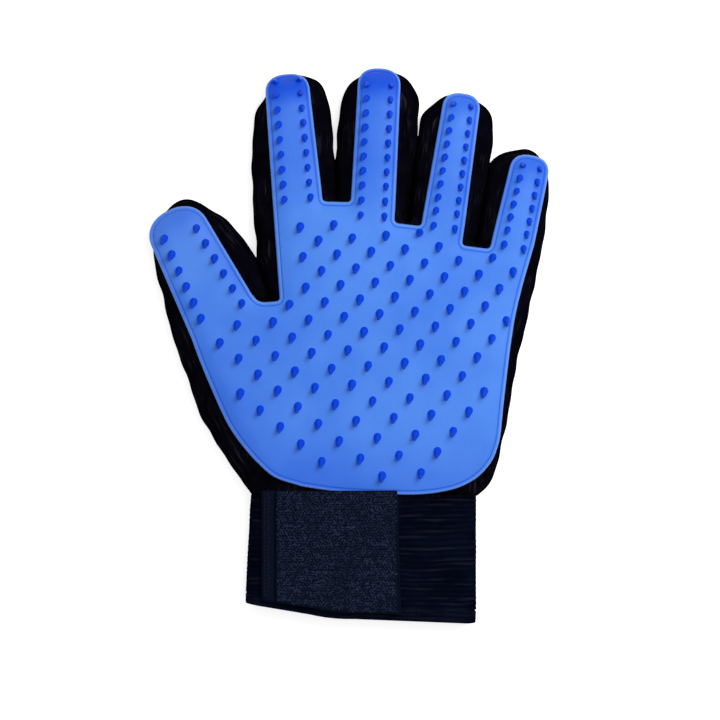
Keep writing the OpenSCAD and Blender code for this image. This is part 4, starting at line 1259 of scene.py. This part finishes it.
# The nubs
def nub_spots():
    """Nub places: rows on the digits, and the fanned rows of the palm."""
    spots = {-1: []}
    for k, d in enumerate(DIGITS):
        pitch, near, far, _, short, ahead = d.nubs
        bend = d.length - d.curl
        arc = bend + CURL_R * math.asin((d.curl - NUB_FOOT) / CURL_R) - NUB_START - 1
        rows = [NUB_START + i * pitch for i in range(int(arc // pitch) + 1 - short)]
        rows = [s if s < bend else bend + CURL_R * math.sin((s - bend) / CURL_R) for s in rows]
        spots[k] = [d.at(u + (ahead if side < 0 else 0), side * (near + (far - near) * u / d.length))
                    for u in rows for side in (-1, 1)]
    # The rows of the fingers run on into the palm
    behind = []
    for d, count in ((index, 1), (middle, 2), (ring, 1), (little, 1)):
        rows = [NUB_START * (1 - 2 * i) for i in range(1, count + 1)]
        behind += [d.at(u, side * d.nubs.near) for u in rows for side in (-1, 1)]
    palm = []
    for j in range(18):
        for i in range(-10, 11):
            p = i * np.array(NUB_STEP) + j * np.array(NUB_ROW)
            palm.append(np.array(NUB_ORIGIN) + p / (1 + NUB_FAN * p[1]))
    palm = from_wrist(palm)
    a, b = from_wrist(PAD_WAIST), from_wrist(NUB_HEEL_RIGHT)
    left = (b - a)[0] * (palm - a)[:, 1] - (b - a)[1] * (palm - a)[:, 0] < 0
    need = np.where(palm[:, 1] > thumb.root[1] - NUB_EDGE, NUB_EDGE, NUB_HEEL_EDGE)
    free = np.array([min(np.linalg.norm(p - q) for q in behind) > 3 * NUB_FOOT for p in palm])
    below = np.array([d.local(palm)[0] < -0.5 for d in DIGITS[1:]]).all(0)
    on_thumb = (thumb.local(palm)[0] > -1.5) & (thumb.local(palm)[1] < 17)
    bound = from_wrist((NUB_LEFT, CROTCHES[0].valley[1]))
    beside = (palm[:, 0] < bound[0]) & (palm[:, 1] > bound[1])
    on_pad = inside(palm, PAD_LOOP) & (gap_from(palm, PAD_LINE) > need)
    palm = palm[on_pad & left & free & below & ~on_thumb & ~beside]
    moved = palm + NUB_SHIFT
    palm = np.where((gap_from(moved, PAD_LINE) > NUB_FOOT + 0.3)[:, None], moved, palm)
    spots[-1] = [*palm, *behind]
    spots[0] = [p + NUB_SHIFT for p in spots[0]]
    return {k: np.array(v) for k, v in spots.items()}, len(behind)


def build_nubs():
    all_spots, behind = nub_spots()
    step = 0.4
    sizes = {"Height": NUB_H * MM, "Foot radius": NUB_FOOT * MM, "Rubber": NUB_BLUE,
             "Lean": (NUB_LEAN[0] * MM, NUB_LEAN[1] * MM, 0.0)}
    for k, spots in all_spots.items():
        owner = np.full(len(spots), k)
        high = palm_height(spots, owner)
        dx = (palm_height(spots + (step, 0), owner) - high) / step
        dy = (palm_height(spots + (0, step), owner) - high) / step
        facing = unit(np.c_[-dx, -dy, np.ones(len(spots))])
        size = np.full(len(spots), 1.0 if k < 0 else DIGITS[k].nubs.size)
        if k < 0:
            size[-behind:] = index.nubs.size
        name, body = name_and_body(k)
        nubs = NUBS.run(name + "_nubs", np.c_[spots, high + RUBBER], [], sizes,
                        [("facing", "FLOAT_VECTOR", facing), ("size", "FLOAT", size)])
        fit_to_body(nubs, body)


build_nubs()


# The cuff
HEM_FOLD = [(0.1, 0.0), (0.3, 0.05), (0.42, 0.14), (0.45, 0.4), (0.42, 0.8), (0.3, 0.95), (0.0, 1.01),
            (-0.6, 1.03), (-1.2, 1.0), (-1.6, 0.9), (-1.7, 0.4), (-1.5, 0.0)]  # height, share of the hem
HEM_SHARE = 1 - HEM_H / CUFF_LENGTH  # where the hem begins
CUFF_ROWS = 132
CUFF_STITCH = (2.4, 1.7, 0.2)  # step, length and thread radius


def low_edge(x):
    """Lower edge of the cuff: it falls to the right, steeper on the left."""
    bend, level = LOW_BEND
    left, right = level + (bend - x) / LOW_RUN, level - (x - bend) * LOW_FALL
    share = np.clip((x - bend + LOW_ROUND / 2) / LOW_ROUND, 0, 1)
    return left * (1 - share) + right * share


def cuff_section(w, columns=56):
    """Closed oval of the cuff: x, z and outward direction, from the left side over the top."""
    flat = np.linspace(-1, 1, columns)
    end = np.radians(np.linspace(0, 90, 11))
    half, tall = w / 2 - CUFF_ROUND, PALM_TOP / 2
    x = np.r_[-half - CUFF_ROUND * np.cos(end[:-1]), half * flat, half + CUFF_ROUND * np.sin(end[1:])]
    z = np.r_[tall * np.sin(end[:-1]), np.full(columns, tall), tall * np.cos(end[1:])]
    nx = np.r_[-np.cos(end[:-1]) / CUFF_ROUND, np.zeros(columns), np.sin(end[1:]) / CUFF_ROUND]
    nz = np.r_[np.sin(end[:-1]) / tall, np.ones(columns), np.cos(end[1:]) / tall]
    size = np.hypot(nx, nz)
    nx, nz = nx / size, nz / size
    x, z, nx, nz = (np.r_[a, b[::-1][1:-1]] for a, b in ((x, x), (z, -z), (nx, nx), (nz, -nz)))
    return x, tall + z, nx, nz


def cuff_grid(shares, rise=0.0, ribbed=False):
    """Rows of the cuff at shares of its length: places, weave and rib height."""
    grid, weave, ribs = [], [], []
    for s in shares:
        x, z, nx, nz = cuff_section(CUFF_TOP_W + CUFF_FLARE * s)
        y = WRIST_Y + (low_edge(x) - WRIST_Y) * s
        wave = 0.9 * np.sin(x / 8.3 + 0.6 + y / 13) + 0.6 * np.sin(x / 3.9 + z * 0.2 - y / 7)
        wave += 1.6 * np.sin(y / 5.7)
        rib = 0.5 + 0.5 * np.cos(2 * math.pi * y / RIB_PITCH + 0.9 * wave)
        uneven = 0.6 + 0.25 * np.sin(y / 3.1 + x / 17) + 0.15 * np.sin(x / 5.3 - y / 1.9)
        out = rise + (RIB_RISE * rib * uneven if ribbed else 0)
        grid.append(np.c_[x + CUFF_SHIFT * s + out * nx + SEAM_MIDDLE[0], y + SEAM_MIDDLE[1], z + out * nz])
        weave.append(np.c_[np.r_[0, np.cumsum(np.hypot(np.diff(x), np.diff(z)))], y])
        ribs.append(rib)
    return np.array(grid), np.array(weave), np.array(ribs)


def cuff_ring(share, rise):
    """A closed line round the cuff."""
    line = cuff_grid([share], rise)[0][0]
    return np.vstack([line, line[:1]])


def sheet_faces(rows, columns, closed=False):
    """Faces over rows of points; closed joins the last row and column to the first."""
    faces = []
    for i in range(rows if closed else rows - 1):
        for j in range(columns if closed else columns - 1):
            n, k = (i + 1) % rows, (j + 1) % columns
            faces.append((n * columns + j, n * columns + k, i * columns + k, i * columns + j))
    return faces


def build_cuff():
    grid, weave, ribs = cuff_grid(np.linspace(0, HEM_SHARE + 0.01, CUFF_ROWS), ribbed=True)
    columns = grid.shape[1]
    half = columns // 2
    panels, cuts = [], []
    for name, node, cols in (("cuff_front_elastic", "cuff_front", np.arange(half + 1)),
                             ("cuff_back_elastic", "cuff_back", np.r_[np.arange(half, columns), 0])):
        part = grid[:, cols]
        piece = make_piece(name, part.reshape(-1, 3), sheet_faces(len(part), len(cols)), ELASTIC)
        weave_map(piece, weave[:, cols].reshape(-1, 2))
        mark(piece, "rib", ribs[:, cols])
        thicken(piece, CUFF_WALL, 70)
        fit_to_body(piece, "hand", [node])
        around = np.linalg.norm(part[0, 1:] - part[0, :-1], axis=1).sum() * MM
        panels.append(piece)
        cuts.append((float(around), CUFF_CUT))
    # Hem: the lower edge folded over to the inside
    rows = np.array([cuff_ring(HEM_SHARE + (1 - HEM_SHARE) * s, rise)[:-1] for rise, s in HEM_FOLD])
    faces = sheet_faces(len(rows), columns, closed=True)
    hem = make_piece("cuff_hem_band", rows.reshape(-1, 3), faces, ELASTIC)
    weave_map(hem, np.vstack([np.c_[weave[0][:, 0], np.full(columns, HEM_H * k)] for k in range(len(rows))]))
    mark(hem, "rib", np.full(len(rows) * columns, 0.7))
    hem.data.set_sharp_from_angle(angle=math.radians(60))
    fit_to_body(hem, "hand", ["cuff_hem"])
    stitches = sew("hem_stitches", [cuff_ring(HEM_SHARE + (1 - HEM_SHARE) * 0.22, 0.48)], *CUFF_STITCH)
    fit_to_body(stitches, "hand")
    # Wrist seam: rolled edge where the cuff meets the glove, with its stitches
    fit_to_body(roll("wrist_seam_roll", [cuff_ring(0.0, 0.05)], 0.55, KNIT), "hand")
    fit_to_body(sew("wrist_seam_stitches", [cuff_ring(0.035, 0.36)], *CUFF_STITCH), "hand")
    # Side seams of the cuff
    seams = roll("cuff_side_seams", [grid[1:-2:2, c] for c in (0, half)], 0.5, ELASTIC)
    fit_to_body(seams, "hand")


build_cuff()


# The strap
STRAP_SLANT = 1.7  # the free end of the strap leans outwards
STRAP_INSET = 2.6  # lower edge of the strap over the lower edge of the cuff
HOOK_INSET = 4.8
LOOP_INSET = 4.6
BAND_TALL = 46.0  # length that the rows of points are spread over
BAND_EDGE = np.array([0, 0.12, 0.4, 0.9])  # rows of points at the soft edges
BAND_INNER = 1.6  # first row after them
STRAP_STITCH = (1.9, 1.35, 0.2)  # step, length and thread radius
ANCHOR_STITCH = (1.5, 1.25, 0.24)
HOOK_SLANT = 0.6
HOOK_DEEP = 0.58  # the hooks stand so far below their tape
PILE_H = 0.45  # room for the pile over the strap
PILE_ROW = 0.86  # distance of the rows, as a share of the pitch
PILE_END = 60.0  # no row lies further below the top of a band
PILE_SEED = 17

# Pile: distance from the edge of the band, pitch, how far astray, radius of a loop and of its thread,
# turn of a loop in radians, seed
Pile = namedtuple("Pile", "margin pitch astray radius thread sweep seed")
STRAP_LOOPS = Pile(0.9, 1.26, 0.3, 0.42, 0.37, 3.85, 11)
CLOSURE_HOOKS = Pile(1.0, 1.5, 0.0, 0.3, 0.1, 3.4, 5)
CLOSURE_LOOPS = Pile(1.0, 1.2, 0.0, 0.42, 0.13, 3.85, 23)


def box_mm(node):
    return [np.array(p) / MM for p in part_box(node)]


def strap_bottom(x, inset):
    """Lower edge of a band on the cuff, from its distance to the cuff's lower edge."""
    return low_edge(x - SEAM_MIDDLE[0]) + SEAM_MIDDLE[1] + inset


def stations(long, count):
    """Shares along a side of a band, close together at its soft edges."""
    inner = np.linspace(BAND_INNER / long, 1 - BAND_INNER / long, count)
    return np.unique(np.r_[BAND_EDGE / long, inner, 1 - BAND_EDGE / long])


def band(name, x0, x1, top, inset, z0, z1, soft, wave=0.0, slant=0.0):
    """A flat band of tape with soft edges: closed, a little wavy. Returns it and its height at a place."""
    def sway(x, y):
        return wave * (math.sin(x / 7.3 + y / 19) + 0.6 * math.sin(y / 8.1 - x / 23))

    s, r = stations(x1 - x0, max(6, int((x1 - x0) / 1.2))), stations(BAND_TALL, 40)
    upper, lower = [], []
    for b in r:
        for a in s:
            x = x0 + (x1 - x0) * a
            y = top + (strap_bottom(x, inset) - top) * b
            x = x + slant * b * a
            gaps = min(a, 1 - a) * (x1 - x0), min(b, 1 - b) * BAND_TALL
            round_off = soft * max((1 - min(1, gap / BAND_EDGE[-1])) ** 2 for gap in gaps)
            upper.append((x, y, z1 - round_off + sway(x, y)))
            lower.append((x, y, z0 + 0.4 * round_off + sway(x, y)))
    count, rows, columns = len(upper), len(r), len(s)
    faces = sheet_faces(rows, columns)
    faces += [tuple(i + count for i in f[::-1]) for f in faces]
    order = np.arange(count).reshape(rows, columns)
    around = [*order[0], *order[1:, -1], *order[-1, -2::-1], *order[-2:0:-1, 0]]
    faces += [(a, b, b + count, a + count) for a, b in zip(around, around[1:] + around[:1])]
    piece = make_piece(name, upper + lower, faces, TAPE)
    piece.data.set_sharp_from_angle(angle=math.radians(50))
    return piece, (lambda x, y: z1 + sway(x, y))


def pile_points(kind, x0, x1, top, inset, height, slant=0.0):
    """Loop places in rows, a little astray, with the turn of each loop that changes from place to place."""
    margin, pitch, astray = kind[:3]
    chance = np.random.default_rng(PILE_SEED)
    points, turns = [], []
    for j, y in enumerate(np.arange(top - margin, top - PILE_END, -pitch * PILE_ROW)):
        for x in np.arange(x0 + margin, x1 - margin, pitch):
            x = x + (j % 2) * pitch / 2
            if y < strap_bottom(x, inset) + margin or x > x1 - margin + slant * (top - y) / BAND_TALL:
                continue
            dx, dy = chance.uniform(-astray, astray), chance.uniform(-astray, astray)
            points.append((x + dx, y + dy, height(x, y)))
            swirl = y / 1.7 + 2.2 * math.sin(x / 6.1) + 1.4 * math.sin(x / 2.3 + y / 3.7)
            turns.append(0.75 * math.tanh(3 * math.sin(swirl)))
    return np.array(points), np.array(turns)


def build_strap():
    low, high = box_mm("strap")
    top, x0, x1 = high[1], low[0], high[0] - STRAP_SLANT
    strap, height = band("strap_tape", x0 - 0.1, x1, top, STRAP_INSET, low[2] + 0.1, high[2] - PILE_H,
                         soft=0.5, wave=0.1, slant=STRAP_SLANT)
    fit_to_body(strap, "wrist_strap", ["strap"])
    points, turns = pile_points(STRAP_LOOPS, x0, x1, top, STRAP_INSET, height, STRAP_SLANT)
    loops = pile("strap_loops", points - (0, 0, 0.06), turns, STRAP_LOOPS, STRAP_PILE)
    fit_to_body(loops, "wrist_strap")
    # Stitches along its free edges
    edge = [(x0 + 0.6 + k, top - 0.55, height(x0 + k, top) + 0.05) for k in np.arange(0, x1 - x0 - 1, 1.0)]
    foot = [(x, strap_bottom(x, STRAP_INSET) + 0.55, z) for x, _, z in edge]
    side = [(x1 - 0.75 + STRAP_SLANT * (top - y) / 48, y, height(x1, y) + 0.05)
            for y in np.arange(top - 1, strap_bottom(x1, STRAP_INSET + 1), -1.0)]
    stitches = sew("strap_edge_stitches", [np.array(line) for line in (edge, side, foot)], *STRAP_STITCH)
    fit_to_body(stitches, "wrist_strap")

    # Sewn-down end, with two rows of stitches and a zigzag
    (a0, _, _), (a1, _, a_top) = box_mm("strap_anchor")
    fold, height = band("strap_anchor_fold", a0, a1, top, STRAP_INSET, PALM_TOP - 0.2, a_top - 0.7,
                        soft=0.8, wave=0.08)
    fit_to_body(fold, "hand", ["strap_anchor"])
    ys = np.arange(top - 1.6, strap_bottom(a0, STRAP_INSET + 1.6), -0.7)
    lines = [np.array([(x, y, height(x, y) + 0.06) for y in ys]) for x in (a0 + 1.2, a0 + 2.5)]
    lines.append(np.array([(a0 + 3.1 + (0.55 if k % 2 else -0.55), y, height(a0 + 3, y) + 0.1)
                           for k, y in enumerate(ys[::2])]))
    sewn = sew("strap_anchor_stitches", lines, *ANCHOR_STITCH, STRAP_THREAD)
    fit_to_body(sewn, "hand")

    # Hook patch under the free end: made like a loop patch and turned over
    (h0, _, _), (h1, h_top, _) = box_mm("hook_patch")
    tape, height = band("hook_tape", h0, h1, h_top, HOOK_INSET, low[2] - 0.45, low[2] + 0.15,
                        soft=0.2, wave=0.1, slant=HOOK_SLANT)
    fit_to_body(tape, "wrist_strap", ["hook_patch"])
    points, turns = pile_points(CLOSURE_HOOKS, h0, h1, h_top, HOOK_INSET, height, HOOK_SLANT)
    over = (1, 1, -1)
    points = (points - (0, 0, HOOK_DEEP)) * over
    hooks = pile("closure_hooks", points, turns * 0, CLOSURE_HOOKS, HOOKS)
    hooks.data.vertices.foreach_set("co", (point_places(hooks) * over).ravel())
    hooks.data.flip_normals()
    fit_to_body(hooks, "wrist_strap")

    # Loop patch sewn on the cuff
    (l0, _, _), (l1, l_top, _) = box_mm("loop_patch")
    tape, height = band("loop_tape", l0, l1, l_top, LOOP_INSET, PALM_TOP + 0.2, PALM_TOP + 0.75, soft=0.25)
    fit_to_body(tape, "hand", ["loop_patch"])
    points, turns = pile_points(CLOSURE_LOOPS, l0, l1, l_top, LOOP_INSET, height)
    loops = pile("closure_loops", points - (0, 0, 0.05), turns, CLOSURE_LOOPS, LOOP_PILE)
    fit_to_body(loops, "hand")


build_strap()


# Seams on the back of the glove
BACK_STITCH = (2.6, 1.8, 0.2)  # step, length and thread radius


def on_back(line, stand_off=0.05):
    """A flat line laid on the underside of the cloth."""
    hits = [CLOTH_SURFACE.ray_cast(Vector((x, y, -5)), Vector((0, 0, 1)))[0] for x, y in line]
    return np.array([(h.x, h.y, h.z - stand_off) for h in hits if h])


def inside_seam(line, far):
    """A line inside a side seam, without the places where it folds back."""
    d = np.gradient(line, axis=0)
    moved = line + far * np.c_[d[:, 1], -d[:, 0]] / np.linalg.norm(d, axis=1)[:, None]
    return moved[gap_from(moved, CORE_LINE) > 0.97 * far]


def build_back_seams():
    """Stitches beside the side seams of the back, one set for each body."""
    hand = []
    for d, seam in zip(DIGITS, CORE):
        line = inside_seam(seam, SEAM_STITCH)
        on_digit = np.flatnonzero(d.local(line)[0] > 0.6)
        first, last = on_digit[0], on_digit[-1]
        stitches = sew(d.name + "_seam_stitches", [on_back(line[first:last + 1])], *BACK_STITCH)
        fit_to_body(stitches, d.body)
        hand += [on_back(part) for part in (line[:first], line[last + 1:]) if len(part) > 3]
    fit_to_body(sew("back_seam_stitches", hand, *BACK_STITCH), "hand")


build_back_seams()


# Floor, light and camera
FLOOR_HALF = 4.0
FLOOR_PAINT = 0.86
FLOOR_GLOW = 0.68  # for the camera and for reflections only
SKY_LIGHT = 0.31  # light of the sky on the object
PHOTO = 720  # pixels of the photograph's frame
PIXEL = 0.415  # millimetres for each pixel
SEAM_PIXEL = (363.5, 495.5)  # middle of the wrist seam in the photograph
LENS = 250
SENSOR = 36
SHARP_LEVEL = 0.014  # height at which the scale holds, in metres


def build_floor():
    mesh = bpy.data.meshes.new("floor")
    corners = [(x * FLOOR_HALF, y * FLOOR_HALF, 0) for x, y in ((-1, -1), (1, -1), (1, 1), (-1, 1))]
    mesh.from_pydata(corners, [], [(0, 1, 2, 3)])
    floor = bpy.data.objects.new("floor", mesh)
    bpy.context.scene.collection.objects.link(floor)
    white = bpy.data.materials.new("white_floor")
    white.use_nodes = True
    white.node_tree.nodes.clear()
    n = Nodes(white.node_tree)
    paint = n.out("ShaderNodeBsdfDiffuse", {"Color": (FLOOR_PAINT, FLOOR_PAINT, FLOOR_PAINT, 1)})
    glow = n.out("ShaderNodeEmission", {"Strength": n.calc("MULTIPLY", n.seen(), FLOOR_GLOW)})
    n.node("ShaderNodeOutputMaterial", {"Surface": n.out("ShaderNodeAddShader", {0: paint, 1: glow})})
    mesh.materials.append(white)


def build_sky():
    world = bpy.data.worlds.new("studio")
    bpy.context.scene.world = world
    world.use_nodes = True
    n = Nodes(world.node_tree)
    level = n.out("ShaderNodeMapRange", {"Value": n.seen(), "To Min": SKY_LIGHT, "To Max": 1.0})
    sky = n.tree.nodes["Background"]
    n.feed(sky.inputs["Strength"], level)
    n.feed(sky.inputs["Color"], (1, 1, 1, 1))


def lamp(name, place, aim, size, power):
    light = bpy.data.lights.new(name, "AREA")
    light.shape, light.size, light.energy = "DISK", size, power
    o = bpy.data.objects.new(name, light)
    bpy.context.scene.collection.objects.link(o)
    o.location = place
    o.rotation_euler = (Vector(aim) - Vector(place)).to_track_quat("-Z", "Y").to_euler()


def build_camera():
    """Straight above, so far away that the photograph's frame has its real width."""
    camera = bpy.data.objects.new("camera", bpy.data.cameras.new("camera"))
    bpy.context.scene.collection.objects.link(camera)
    camera.data.lens, camera.data.sensor_width = LENS, SENSOR
    middle_of = from_wrist((PHOTO / 2 - np.array(SEAM_PIXEL)) * (PIXEL, -PIXEL)) * MM
    camera.location = (middle_of[0], middle_of[1], SHARP_LEVEL + PHOTO * PIXEL * MM * LENS / SENSOR)
    camera.data.clip_end = 20
    bpy.context.scene.camera = camera
    bpy.context.scene.view_settings.view_transform = "Standard"


build_floor()
build_sky()
lamp("overhead_softbox", (0.05, 0.05, 1.5), (0, 0, 0), 1.1, 4.9)
lamp("key_upper_right", (0.34, 0.24, 0.6), (0.02, 0.02, 0), 0.5, 3.3)
build_camera()
